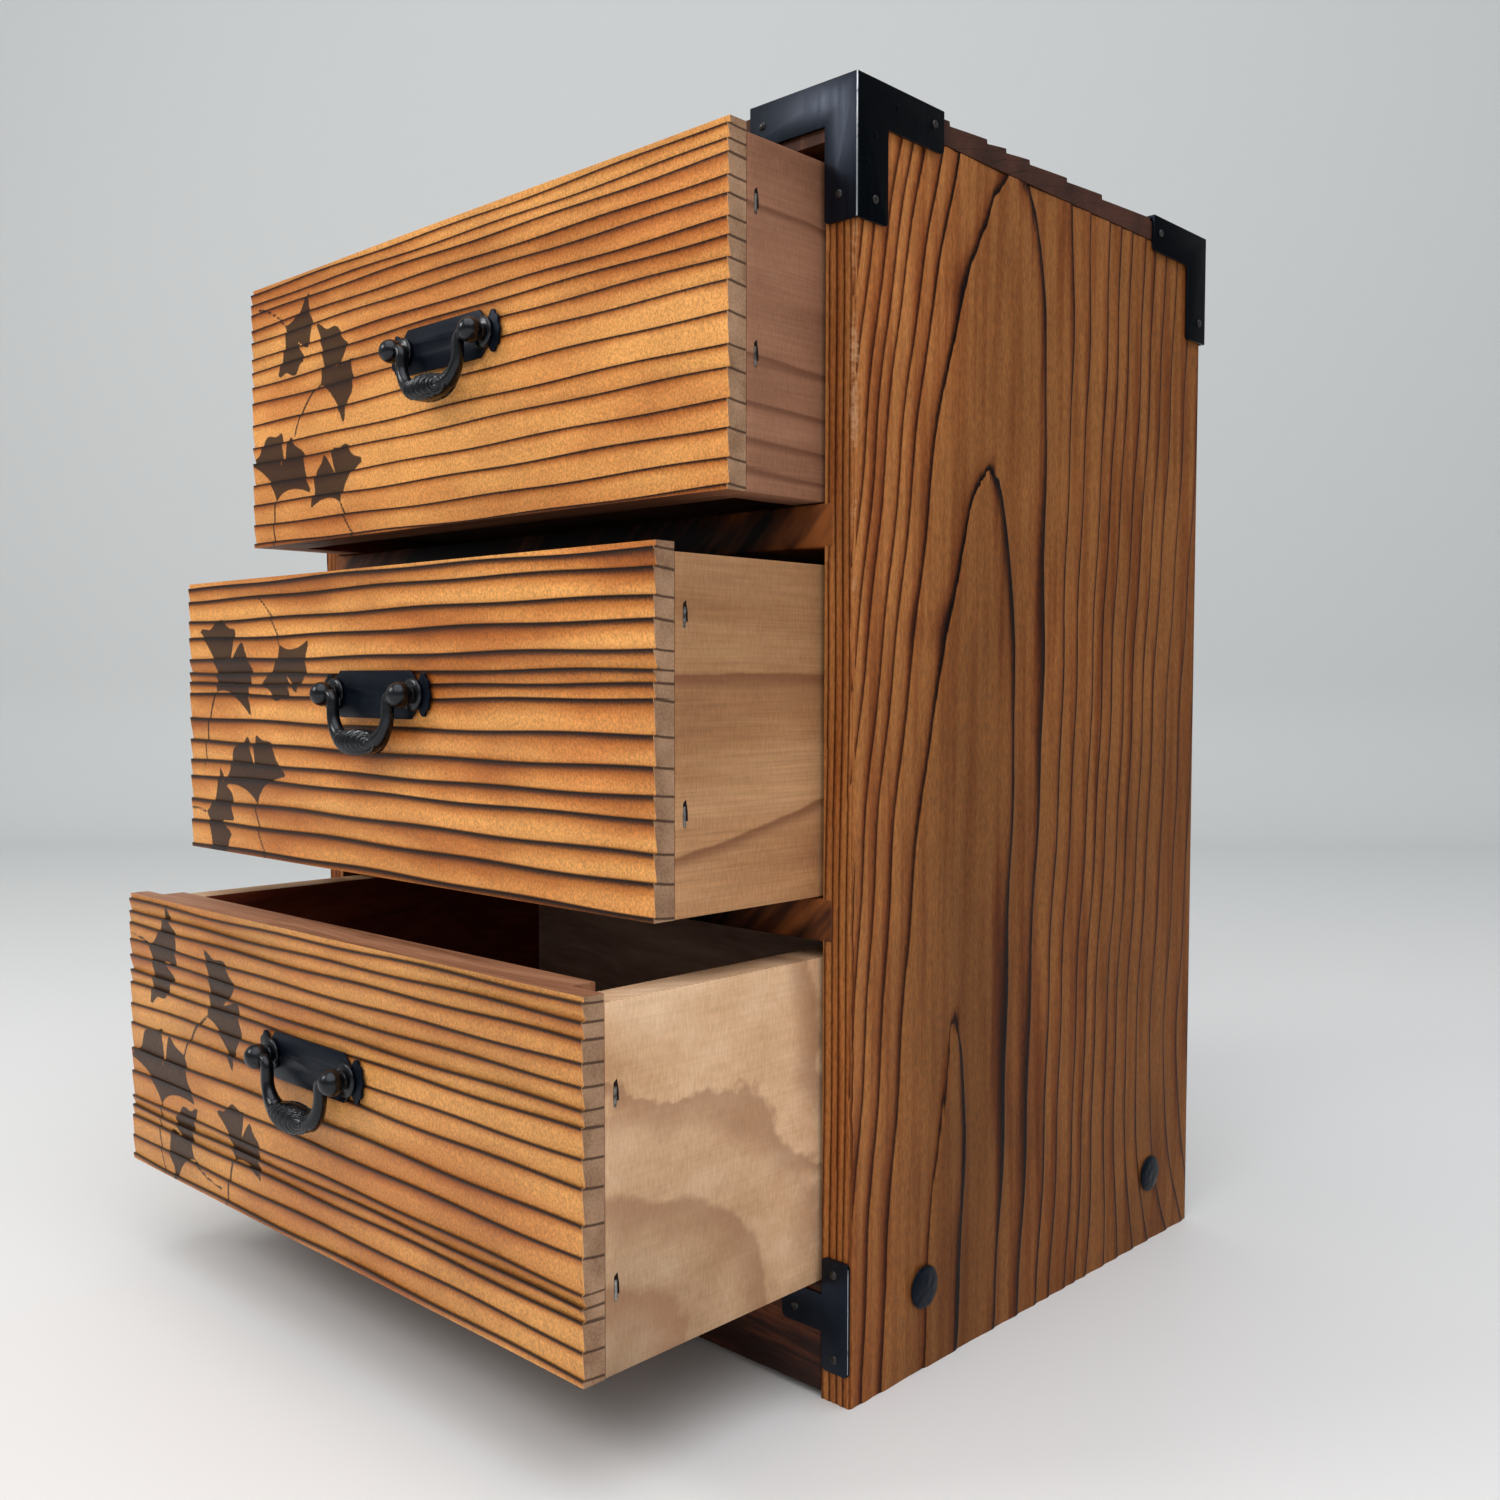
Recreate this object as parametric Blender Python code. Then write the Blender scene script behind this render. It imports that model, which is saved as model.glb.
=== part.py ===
"""Small three-drawer chest in burnt, brushed cedar with black iron fittings.

Metres, +Z up. X runs across the chest and the drawers pull out along -Y. The origin is on the
floor, under the middle of the back board. The drawers stand open as a chest is shown.
"""
import math

import bmesh
import bpy
from mathutils import Matrix, Vector

# Case
CASE_WIDTH = 0.283
CASE_DEPTH = 0.209
SIDE_BOARD = 0.011
TOP_BOARD = 0.015
TOP_OVERLAY = 0.0075
BOTTOM_BOARD = 0.008
BACK_BOARD = 0.006
BACK_REBATE = 0.0055
KICK_HEIGHT = 0.034
KICK_BOARD = 0.012
KICK_FLOOR_GAP = 0.002
RAIL_HEIGHT = 0.0125
RAIL_DEPTH = 0.036
RUNNER_WIDTH = 0.012
HOUSING_DEPTH = 0.0033

# Drawers, listed from the bottom one up
DRAWER_NAMES = ("lower", "middle", "upper")
DRAWER_PULLED = (0.0900, 0.0655, 0.0385)
OPENING_HEIGHT = 0.102
DRAWER_SIDE_CLEARANCE = 0.0018
DRAWER_UNDER_CLEARANCE = 0.0005
DRAWER_OVER_CLEARANCE = 0.0025
DRAWER_REAR_CLEARANCE = 0.012
FRONT_LIP = 0.0073
FRONT_TONGUE = 0.0077
DRAWER_SIDE = 0.012
DRAWER_SIDE_DROP = 0.0025
DRAWER_BACK = 0.010
DRAWER_BACK_DROP = 0.006
DRAWER_BOTTOM = 0.004
GROOVE_DEPTH = 0.004
GROOVE_RISE = 0.006

# Brushed ridges: the soft wood is worn back between the hard rings
FRONT_RIDGE_PITCH = 0.0068
FRONT_RIDGE_DEPTH = 0.0008
TOP_RIDGE_DEPTH = 0.0019
TOP_RIDGE_STEP = 0.0011
TOP_CRESTS = (0.092, 0.211, 0.306, 0.357, 0.422, 0.531, 0.641, 0.804)  # shares of the depth from the front
SIDE_RIDGE_PITCH = 0.0095
SIDE_RIDGE_DEPTH = 0.0007

# Corner irons, T plates and studs
IRON_SHEET = 0.001
IRON_LEG_LENGTH = 0.041
IRON_LEG_WIDTH = 0.0127
IRON_SIDE_WIDTH = 0.0142
IRON_DROP = 0.040
T_PLATE_WIDTH = 0.0100
T_PLATE_HEIGHT = 0.0336
T_PLATE_RISE = 0.0097
T_PLATE_REACH = 0.0255
T_PLATE_LEG = 0.011
STUD_RADIUS = 0.0066
STUD_DOME = 0.0015
STUD_SHANK_RADIUS = 0.002
STUD_SHANK = 0.006
STUD_FRONT_INSET = 0.0354
STUD_BACK_INSET = 0.0310
STUD_RISE = 0.026

# Bail pulls
PULL_RISE = 0.0585
PLATE_SHEET = 0.001
PLATE_HEIGHT = 0.0152
PLATE_TOP_LENGTH = 0.040
PLATE_BODY_LENGTH = 0.048
PLATE_NECK_HEIGHT = 0.0076
LOBE_LENGTH = 0.061
LOBE_HEIGHT = 0.0140
LOBE_SCALLOPS = 5
POST_SPACING = 0.0444
POST_STAND = 0.0065
POST_HEAD_RADIUS = 0.0040
POST_COLLAR_RADIUS = 0.0052
POST_COLLAR = 0.0012
POST_SHANK_RADIUS = 0.0017
NUT_WIDTH = 0.0070
NUT_HEIGHT = 0.0030
SHANK_PROUD = 0.0012
BAIL_ARM_SPACING = 0.0316
BAIL_ARM_RADIUS = 0.0020
BAIL_PIN_RADIUS = 0.0016
BAIL_BOW_RADIUS = 0.0047
BAIL_DROP = 0.0150
BAIL_CORNER = 0.0095
BAIL_ELBOW = 0.0026
PIN_PAST_CENTRE = 0.0006

# Gaps between pieces that touch on the real chest
SEAT_GAP = 0.0003
PIN_GAP = 0.0003
ROUND_STEPS = 16

# Derived places
DRAWERS = len(DRAWER_NAMES)
CASE_HEIGHT = KICK_HEIGHT + DRAWERS * OPENING_HEIGHT + (DRAWERS - 1) * RAIL_HEIGHT + TOP_BOARD
Y_BACK = BACK_BOARD / 2
Y_FRONT = Y_BACK - CASE_DEPTH
Y_BACK_INNER = Y_BACK - BACK_BOARD
INNER_HALF = CASE_WIDTH / 2 - SIDE_BOARD
DRAWER_HALF = INNER_HALF - DRAWER_SIDE_CLEARANCE
DRAWER_INNER_HALF = DRAWER_HALF - DRAWER_SIDE
DRAWER_LENGTH = CASE_DEPTH - BACK_BOARD - DRAWER_REAR_CLEARANCE
FRONT_HEIGHT = OPENING_HEIGHT - DRAWER_UNDER_CLEARANCE - DRAWER_OVER_CLEARANCE
FRONT_THICK = FRONT_LIP + FRONT_TONGUE

CEDAR_CASE = ("burnt_cedar_case", (0.30, 0.13, 0.045), 0.55, 0.0)
CEDAR_TOP = ("burnt_cedar_top", (0.11, 0.05, 0.03), 0.6, 0.0)
CEDAR_FRONT = ("burnt_cedar_front", (0.52, 0.23, 0.06), 0.5, 0.0)
PLAIN_WOOD = ("plain_drawer_wood", (0.50, 0.30, 0.18), 0.65, 0.0)
BLACK_IRON = ("black_iron", (0.012, 0.014, 0.018), 0.4, 0.8)


def material(finish):
    """One Principled material per finish, made the first time it is asked for."""
    name, colour, roughness, metallic = finish
    found = bpy.data.materials.get(name)
    if found:
        return found
    made = bpy.data.materials.new(name)
    made.use_nodes = True
    shader = made.node_tree.nodes["Principled BSDF"]
    shader.inputs["Base Color"].default_value = (*colour, 1.0)
    shader.inputs["Roughness"].default_value = roughness
    shader.inputs["Metallic"].default_value = metallic
    return made


def new_object(name, bm, finish, parent=None, location=(0, 0, 0)):
    """Turn a bmesh into a named object with its own copy of the finish."""
    bmesh.ops.recalc_face_normals(bm, faces=bm.faces)
    mesh = bpy.data.meshes.new(name)
    bm.to_mesh(mesh)
    bm.free()
    mesh.materials.append(material(finish).copy())
    mesh.materials[0].name = f"{name}_{finish[0]}"
    piece = bpy.data.objects.new(name, mesh)
    bpy.context.scene.collection.objects.link(piece)
    piece.location = location
    piece.parent = parent
    return piece


def empty(name, location):
    """A frame that moving pieces hang from."""
    frame = bpy.data.objects.new(name, None)
    bpy.context.scene.collection.objects.link(frame)
    frame.location = location
    return frame


def prism(outline, axis, low, high):
    """Extrude a closed outline along X, Y or Z from low to high.

    The outline's pairs are (y, z) along X, (x, z) along Y and (x, y) along Z.
    """
    place = {
        "X": lambda a, b, t: (t, a, b),
        "Y": lambda a, b, t: (a, t, b),
        "Z": lambda a, b, t: (a, b, t),
    }[axis]
    bm = bmesh.new()
    near = [bm.verts.new(place(a, b, low)) for a, b in outline]
    far = [bm.verts.new(place(a, b, high)) for a, b in outline]
    bm.faces.new(near)
    bm.faces.new(far)
    count = len(outline)
    for i in range(count):
        j = (i + 1) % count
        bm.faces.new((near[i], near[j], far[j], far[i]))
    return bm


def block(low, high):
    """A plain board between two opposite corners."""
    outline = [(low[0], low[1]), (high[0], low[1]), (high[0], high[1]), (low[0], high[1])]
    return prism(outline, "Z", low[2], high[2])


def turned(profile, axis, steps=ROUND_STEPS):
    """Spin a profile of (radius, height) pairs, from pole to pole, about the Y or X axis."""
    bm = bmesh.new()
    rings = []
    for radius, height in profile:
        if radius == 0:
            rings.append([bm.verts.new((0, 0, height))])
            continue
        turns = [2 * math.pi * k / steps for k in range(steps)]
        rings.append([bm.verts.new((radius * math.cos(a), radius * math.sin(a), height)) for a in turns])
    for lower, upper in zip(rings, rings[1:]):
        for k in range(steps):
            corners = [lower[k % len(lower)], lower[(k + 1) % len(lower)],
                       upper[(k + 1) % len(upper)], upper[k % len(upper)]]
            bm.faces.new(list(dict.fromkeys(corners)))
    quarter = Matrix.Rotation(math.pi / 2, 3, "X" if axis == "Y" else "Y")
    bmesh.ops.rotate(bm, matrix=quarter, verts=bm.verts)
    return bm


def cylinder(radius, axis, low, high, centre=(0, 0, 0), steps=12):
    """A plain round bar along X or Y, used for holes."""
    turns = [2 * math.pi * k / steps for k in range(steps)]
    bm = prism([(radius * math.cos(a), radius * math.sin(a)) for a in turns], axis, low, high)
    bmesh.ops.translate(bm, vec=Vector(centre), verts=bm.verts)
    return bm


def cut(piece, cutters):
    """Take each cutter's shape out of the piece, keeping the cutters as hidden guides."""
    for number, bm in enumerate(cutters):
        bmesh.ops.recalc_face_normals(bm, faces=bm.faces)
        mesh = bpy.data.meshes.new(f"{piece.name}_cut_{number}")
        bm.to_mesh(mesh)
        bm.free()
        cutter = bpy.data.objects.new(mesh.name, mesh)
        bpy.context.scene.collection.objects.link(cutter)
        cutter.parent = piece.parent
        cutter.location = piece.location
        cutter.hide_render = True
        cutter.display_type = "WIRE"
        step = piece.modifiers.new(mesh.name, "BOOLEAN")
        step.object = cutter
        step.solver = "EXACT"
    return piece


def smooth(piece, angle=40):
    """Shade a round piece smooth, keeping its real edges sharp."""
    piece.data.shade_smooth()
    piece.data.set_sharp_from_angle(angle=math.radians(angle))
    return piece


def ridge_line(length, pitch, depth):
    """Worn rings along an edge: pairs of (distance, height), each crest followed by a slow fall."""
    count = max(2, round(length / pitch))
    uneven = [1 + 0.3 * math.sin(2.4 * k) for k in range(count)]
    scale = length / sum(uneven)
    line = []
    along = 0.0
    for k, share in enumerate(uneven):
        width = share * scale
        worn = depth * (0.75 + 0.25 * math.cos(1.7 * k))
        line.append((along, 0.0))
        line.append((along + 0.55 * width, -0.55 * worn))
        line.append((along + 0.94 * width, -worn))
        along += width
    line.append((length, 0.0))
    return line


def top_line():
    """Worn top from front to back: a slow rise to each ring's crest, then a steep step down."""
    ends = [share * CASE_DEPTH for share in TOP_CRESTS] + [CASE_DEPTH + TOP_RIDGE_STEP]
    widths = [high - low for low, high in zip([0.0] + ends, ends)]
    line = []
    for high, width in zip(ends, widths):
        low = high - width
        worn = TOP_RIDGE_DEPTH * (0.5 + 0.5 * width / max(widths))
        line += [(low, -worn), (low + 0.55 * width, -0.5 * worn), (high - TOP_RIDGE_STEP, 0.0)]
    return line


def side_board(name, hand):
    """Side board: ridged outside, rebated for the back, housed for rails and bottom."""
    outer = CASE_WIDTH / 2
    outline = [(hand * (outer + h), Y_FRONT + s)
               for s, h in ridge_line(CASE_DEPTH, SIDE_RIDGE_PITCH, SIDE_RIDGE_DEPTH)]
    rebate_x = INNER_HALF + BACK_REBATE
    rebate_y = Y_BACK_INNER - SEAT_GAP
    outline += [(hand * rebate_x, Y_BACK), (hand * rebate_x, rebate_y),
                (hand * INNER_HALF, rebate_y), (hand * INNER_HALF, Y_FRONT)]
    height = CASE_HEIGHT - TOP_OVERLAY - SEAT_GAP
    piece = new_object(name, prism(outline, "Z", 0, height), CEDAR_CASE)

    def housing(low_y, high_y, low_z, high_z):
        near = INNER_HALF - HOUSING_DEPTH
        far = INNER_HALF + HOUSING_DEPTH
        low_x, high_x = sorted((hand * near, hand * far))
        return block((low_x, low_y, low_z - SEAT_GAP), (high_x, high_y, high_z + SEAT_GAP))

    cutters = [housing(Y_FRONT - RAIL_DEPTH, Y_FRONT + RAIL_DEPTH + SEAT_GAP, low, low + RAIL_HEIGHT)
               for low in rail_heights()]
    cutters.append(housing(Y_FRONT + KICK_BOARD, Y_BACK + BACK_BOARD,
                           KICK_HEIGHT - BOTTOM_BOARD, KICK_HEIGHT))
    hole = STUD_SHANK_RADIUS + PIN_GAP
    for y in stud_places():
        start = hand * (outer - STUD_SHANK - PIN_GAP)
        end = hand * (outer + STUD_DOME)
        cutters.append(cylinder(hole, "X", start, end, (0, y, STUD_RISE)))
    return cut(piece, cutters)


def rail_heights():
    """The lower faces of the rails, from the bottom one up."""
    return [KICK_HEIGHT + OPENING_HEIGHT + k * (OPENING_HEIGHT + RAIL_HEIGHT)
            for k in range(DRAWERS - 1)]


def stud_places():
    """Where the studs of one side stand along Y."""
    return (Y_FRONT + STUD_FRONT_INSET, Y_BACK - STUD_BACK_INSET)


def top_board():
    """Top board: worn rings run across it, and its ends lie over the side boards."""
    under = CASE_HEIGHT - TOP_BOARD
    outline = [(Y_FRONT + s, CASE_HEIGHT + h) for s, h in top_line()]
    outline += [(Y_BACK, under), (Y_FRONT, under)]
    piece = new_object("top_board", prism(outline, "X", -CASE_WIDTH / 2, CASE_WIDTH / 2), CEDAR_TOP)
    shoulder = CASE_HEIGHT - TOP_OVERLAY
    cutters = []
    for hand in (-1, 1):
        low_x, high_x = sorted((hand * (INNER_HALF - SEAT_GAP), hand * CASE_WIDTH))
        cutters.append(block((low_x, Y_FRONT - TOP_BOARD, under - TOP_BOARD),
                             (high_x, Y_BACK + TOP_BOARD, shoulder)))
    return cut(piece, cutters)


def case_boards():
    """Boards of the case between the two sides."""
    housed = INNER_HALF + HOUSING_DEPTH - SEAT_GAP
    fitted = INNER_HALF - SEAT_GAP
    rebated = INNER_HALF + BACK_REBATE - SEAT_GAP
    behind_kick = Y_FRONT + KICK_BOARD + SEAT_GAP
    before_back = Y_BACK_INNER - SEAT_GAP
    new_object("kick_board", block((-fitted, Y_FRONT, KICK_FLOOR_GAP),
                                   (fitted, Y_FRONT + KICK_BOARD, KICK_HEIGHT)), CEDAR_CASE)
    new_object("bottom_board", block((-housed, behind_kick, KICK_HEIGHT - BOTTOM_BOARD),
                                     (housed, before_back, KICK_HEIGHT)), CEDAR_TOP)
    new_object("back_board", block((-rebated, Y_BACK_INNER, 0),
                                   (rebated, Y_BACK, CASE_HEIGHT - TOP_BOARD - SEAT_GAP)), CEDAR_CASE)
    for place, low in zip(("lower", "upper"), rail_heights()):
        high = low + RAIL_HEIGHT
        new_object(f"rail_{place}", block((-housed, Y_FRONT, low),
                                          (housed, Y_FRONT + RAIL_DEPTH, high)), CEDAR_TOP)
        for side, hand in (("left", -1), ("right", 1)):
            low_x, high_x = sorted((hand * (INNER_HALF - RUNNER_WIDTH), hand * fitted))
            strip = block((low_x, Y_FRONT + RAIL_DEPTH + SEAT_GAP, low), (high_x, before_back, high))
            new_object(f"runner_{place}_{side}", strip, PLAIN_WOOD)


def box_union(name, boxes, finish):
    """Join overlapping blocks into one solid."""
    piece = new_object(name, block(*boxes[0]), finish)
    for number, corners in enumerate(boxes[1:]):
        other = new_object(f"{name}_leg_{number}", block(*corners), finish)
        other.hide_render = True
        other.display_type = "WIRE"
        step = piece.modifiers.new(other.name, "BOOLEAN")
        step.operation = "UNION"
        step.object = other
        step.solver = "EXACT"
    return piece


def corner_iron(name, hand, face):
    """Folded corner iron: an L on the side, on the front or back, and on the top.

    hand is -1 for the left corner and 1 for the right, face is -1 for the front and 1 for the back.
    """
    x_in = CASE_WIDTH / 2 + SEAT_GAP
    x_out = x_in + IRON_SHEET
    y_face = Y_FRONT if face < 0 else Y_BACK
    y_in = y_face + face * SEAT_GAP
    y_out = y_in + face * IRON_SHEET
    z_in = CASE_HEIGHT + SEAT_GAP
    z_out = z_in + IRON_SHEET

    def span(x_low, x_high, y_from, y_to, z_low, z_high):
        xs = sorted((hand * x_low, hand * x_high))
        ys = sorted((y_from, y_to))
        return ((xs[0], ys[0], z_low), (xs[1], ys[1], z_high))

    drop = z_out - IRON_DROP
    leg = z_out - IRON_LEG_WIDTH
    inward = x_out - IRON_LEG_LENGTH
    along = y_out - face * IRON_LEG_LENGTH
    post = INNER_HALF + SEAT_GAP
    band = y_out - face * IRON_LEG_WIDTH
    boxes = [
        span(x_in, x_out, y_out, y_out - face * IRON_SIDE_WIDTH, drop, z_out),
        span(x_in, x_out, y_out, along, leg, z_out),
        span(post, x_out, y_in, y_out, drop, z_out),
        span(inward, x_out, y_in, y_out, leg, z_out),
        span(inward, x_out, y_out, band, z_in, z_out),
        span(x_out - IRON_LEG_WIDTH, x_out, y_out, along, z_in, z_out),
    ]
    return box_union(name, boxes, BLACK_IRON)


def t_plate(name, hand):
    """T plate on the lower front corner, tying the side board to the kick board."""
    edge = CASE_WIDTH / 2
    middle = T_PLATE_RISE + T_PLATE_HEIGHT / 2
    half_leg = T_PLATE_LEG / 2
    outline = [
        (edge, T_PLATE_RISE), (edge, T_PLATE_RISE + T_PLATE_HEIGHT),
        (edge - T_PLATE_WIDTH, T_PLATE_RISE + T_PLATE_HEIGHT), (edge - T_PLATE_WIDTH, middle + half_leg),
        (edge - T_PLATE_REACH, middle + half_leg), (edge - T_PLATE_REACH, middle - half_leg),
        (edge - T_PLATE_WIDTH, middle - half_leg), (edge - T_PLATE_WIDTH, T_PLATE_RISE),
    ]
    outline = [(hand * x, z) for x, z in outline]
    sheet = prism(outline, "Y", Y_FRONT - SEAT_GAP - IRON_SHEET, Y_FRONT - SEAT_GAP)
    return new_object(name, sheet, BLACK_IRON)


def dome_stud(name, hand, y):
    """Dome-headed stud, its shank driven into the side board."""
    steps = 5
    profile = [(0, -STUD_SHANK), (STUD_SHANK_RADIUS, -STUD_SHANK), (STUD_SHANK_RADIUS, SEAT_GAP)]
    for k in range(steps):
        lift = math.pi / 2 * k / steps
        profile.append((STUD_RADIUS * math.cos(lift), SEAT_GAP + STUD_DOME * math.sin(lift)))
    profile.append((0, SEAT_GAP + STUD_DOME))
    bm = turned(profile, "X")
    if hand < 0:
        bmesh.ops.rotate(bm, matrix=Matrix.Rotation(math.pi, 3, "Z"), verts=bm.verts)
    piece = new_object(name, bm, BLACK_IRON, location=(hand * CASE_WIDTH / 2, y, STUD_RISE))
    return smooth(piece)


def drawer_front(name, parent):
    """Ridged front with a lip at each end, a groove for the bottom and holes for the pull."""
    rows = ridge_line(FRONT_HEIGHT, FRONT_RIDGE_PITCH, FRONT_RIDGE_DEPTH)
    outline = [(-h, FRONT_HEIGHT - s) for s, h in rows]
    outline += [(FRONT_THICK, 0), (FRONT_THICK, FRONT_HEIGHT)]
    piece = new_object(name, prism(outline, "X", -DRAWER_HALF, DRAWER_HALF), CEDAR_FRONT, parent)
    cutters = []
    for hand in (-1, 1):
        low_x, high_x = sorted((hand * (DRAWER_INNER_HALF - SEAT_GAP), hand * CASE_WIDTH))
        cutters.append(block((low_x, FRONT_LIP, -FRONT_HEIGHT),
                             (high_x, FRONT_THICK + FRONT_LIP, 2 * FRONT_HEIGHT)))
    groove_top = GROOVE_RISE + DRAWER_BOTTOM + SEAT_GAP
    cutters.append(block((-CASE_WIDTH, FRONT_THICK - GROOVE_DEPTH, GROOVE_RISE - SEAT_GAP),
                         (CASE_WIDTH, FRONT_THICK + GROOVE_DEPTH, groove_top)))
    for hand in (-1, 1):
        centre = (hand * POST_SPACING / 2, 0, PULL_RISE)
        cutters.append(cylinder(POST_SHANK_RADIUS + PIN_GAP, "Y", -FRONT_THICK, 2 * FRONT_THICK, centre))
    return cut(piece, cutters)


def drawer_side(name, hand, parent):
    """Drawer side, grooved inside for the bottom and lapped over the front's tongue."""
    inner = DRAWER_INNER_HALF
    groove_low = GROOVE_RISE - SEAT_GAP
    groove_high = GROOVE_RISE + DRAWER_BOTTOM + SEAT_GAP
    top = FRONT_HEIGHT - DRAWER_SIDE_DROP
    section = [
        (DRAWER_HALF, 0), (DRAWER_HALF, top), (inner, top), (inner, groove_high),
        (inner + GROOVE_DEPTH, groove_high), (inner + GROOVE_DEPTH, groove_low),
        (inner, groove_low), (inner, 0),
    ]
    section = [(hand * x, z) for x, z in section]
    board = prism(section, "Y", FRONT_LIP + SEAT_GAP, DRAWER_LENGTH)
    return new_object(name, board, PLAIN_WOOD, parent)


def drawer_box(drawer, parent):
    """The five boards of one drawer."""
    drawer_front(f"{drawer}_front", parent)
    drawer_side(f"{drawer}_side_left", -1, parent)
    drawer_side(f"{drawer}_side_right", 1, parent)
    grooved = DRAWER_INNER_HALF + GROOVE_DEPTH - SEAT_GAP
    panel_top = GROOVE_RISE + DRAWER_BOTTOM
    new_object(f"{drawer}_bottom",
               block((-grooved, FRONT_THICK - GROOVE_DEPTH + SEAT_GAP, GROOVE_RISE),
                     (grooved, DRAWER_LENGTH, panel_top)), PLAIN_WOOD, parent)
    between = DRAWER_INNER_HALF - SEAT_GAP
    top = FRONT_HEIGHT - DRAWER_SIDE_DROP - DRAWER_BACK_DROP
    new_object(f"{drawer}_back",
               block((-between, DRAWER_LENGTH - DRAWER_BACK, panel_top + SEAT_GAP),
                     (between, DRAWER_LENGTH, top)), PLAIN_WOOD, parent)


def plate_outline():
    """Pull plate: a bar with cut corners and a scalloped lobe flaring from each end."""
    half = PLATE_HEIGHT / 2
    neck = PLATE_NECK_HEIGHT / 2
    body = PLATE_BODY_LENGTH / 2
    right = [(PLATE_TOP_LENGTH / 2, -half), (body, -neck)]
    reach = LOBE_LENGTH / 2 - body
    steps = 4 * LOBE_SCALLOPS
    for k in range(steps + 1):
        share = k / steps
        swing = math.pi * (share - 0.5)
        ripple = 1 - 0.10 * (1 - abs(math.sin(math.pi * LOBE_SCALLOPS * share)))
        right.append((body + reach * (0.3 + 0.7 * math.cos(swing)) * ripple,
                      LOBE_HEIGHT / 2 * math.sin(swing) * ripple))
    right += [(body, neck), (PLATE_TOP_LENGTH / 2, half)]
    return right + [(-x, z) for x, z in reversed(right)]


def pull_plate(name, parent):
    """Thin back plate of the pull, drilled for the two posts."""
    sheet = prism(plate_outline(), "Y", -SEAT_GAP - PLATE_SHEET, -SEAT_GAP)
    piece = new_object(name, sheet, BLACK_IRON, parent, (0, 0, PULL_RISE))
    holes = [cylinder(POST_SHANK_RADIUS + PIN_GAP, "Y", -FRONT_THICK, FRONT_THICK,
                      (hand * POST_SPACING / 2, 0, 0)) for hand in (-1, 1)]
    return cut(piece, holes)


def pull_post(name, hand, parent):
    """Turned post: round head cross-drilled for the bail, collar on the plate, shank through."""
    seat = 2 * SEAT_GAP + PLATE_SHEET
    end = FRONT_THICK + SEAT_GAP + NUT_HEIGHT + SHANK_PROUD
    neck_radius = 0.75 * POST_HEAD_RADIUS
    collar = seat + POST_COLLAR
    neck_turn = math.acos(neck_radius / POST_HEAD_RADIUS)
    profile = [(0, -end), (POST_SHANK_RADIUS, -end), (POST_SHANK_RADIUS, seat),
               (POST_COLLAR_RADIUS, seat), (0.9 * POST_COLLAR_RADIUS, collar), (neck_radius, collar)]
    rows = 7
    for k in range(rows):
        turn = -neck_turn + (math.pi / 2 + neck_turn) * k / rows
        profile.append((POST_HEAD_RADIUS * math.cos(turn), POST_STAND + POST_HEAD_RADIUS * math.sin(turn)))
    profile.append((0, POST_STAND + POST_HEAD_RADIUS))
    bm = turned(profile, "Y")
    piece = new_object(name, bm, BLACK_IRON, parent, (hand * POST_SPACING / 2, 0, PULL_RISE))
    blind = PIN_PAST_CENTRE + 2 * PIN_GAP
    hole = cylinder(BAIL_PIN_RADIUS + PIN_GAP, "X", hand * blind, -hand * 2 * POST_HEAD_RADIUS,
                    (0, -POST_STAND, 0))
    return smooth(cut(piece, [hole]))


def pull_nut(name, hand, parent):
    """Six-sided nut on the post's shank, inside the drawer."""
    corner = NUT_WIDTH / math.sqrt(3)
    outline = [(corner * math.cos(math.radians(60 * k)), corner * math.sin(math.radians(60 * k)))
               for k in range(6)]
    low = FRONT_THICK + SEAT_GAP
    bm = prism(outline, "Y", low, low + NUT_HEIGHT)
    piece = new_object(name, bm, BLACK_IRON, parent, (hand * POST_SPACING / 2, 0, PULL_RISE))
    return cut(piece, [cylinder(POST_SHANK_RADIUS + PIN_GAP, "Y", -2 * low, 2 * low)])


def bail_route():
    """Right half of the bail's middle line: (x, z, radius) from its pin down to the bow."""
    arm = BAIL_ARM_SPACING / 2
    route = [(POST_SPACING / 2 + PIN_PAST_CENTRE, 0.0, BAIL_PIN_RADIUS),
             (arm + BAIL_ELBOW, 0.0, BAIL_PIN_RADIUS)]
    for k in range(1, 4):
        turn = math.pi / 2 * k / 4
        route.append((arm + BAIL_ELBOW * (1 - math.sin(turn)), -BAIL_ELBOW * (1 - math.cos(turn)),
                      BAIL_PIN_RADIUS + (BAIL_ARM_RADIUS - BAIL_PIN_RADIUS) * k / 4))
    route.append((arm, -BAIL_ELBOW, BAIL_ARM_RADIUS))
    corner_top = BAIL_DROP - BAIL_CORNER
    rows = 6
    for k in range(rows + 1):
        turn = math.pi / 2 * k / rows
        swell = BAIL_ARM_RADIUS + (BAIL_BOW_RADIUS - BAIL_ARM_RADIUS) * 0.75 * (k / rows) ** 2
        route.append((arm - BAIL_CORNER * (1 - math.cos(turn)),
                      -corner_top - BAIL_CORNER * math.sin(turn), swell))
    route.append(((arm - BAIL_CORNER) / 2, -BAIL_DROP, BAIL_BOW_RADIUS * 0.97))
    return route


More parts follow.
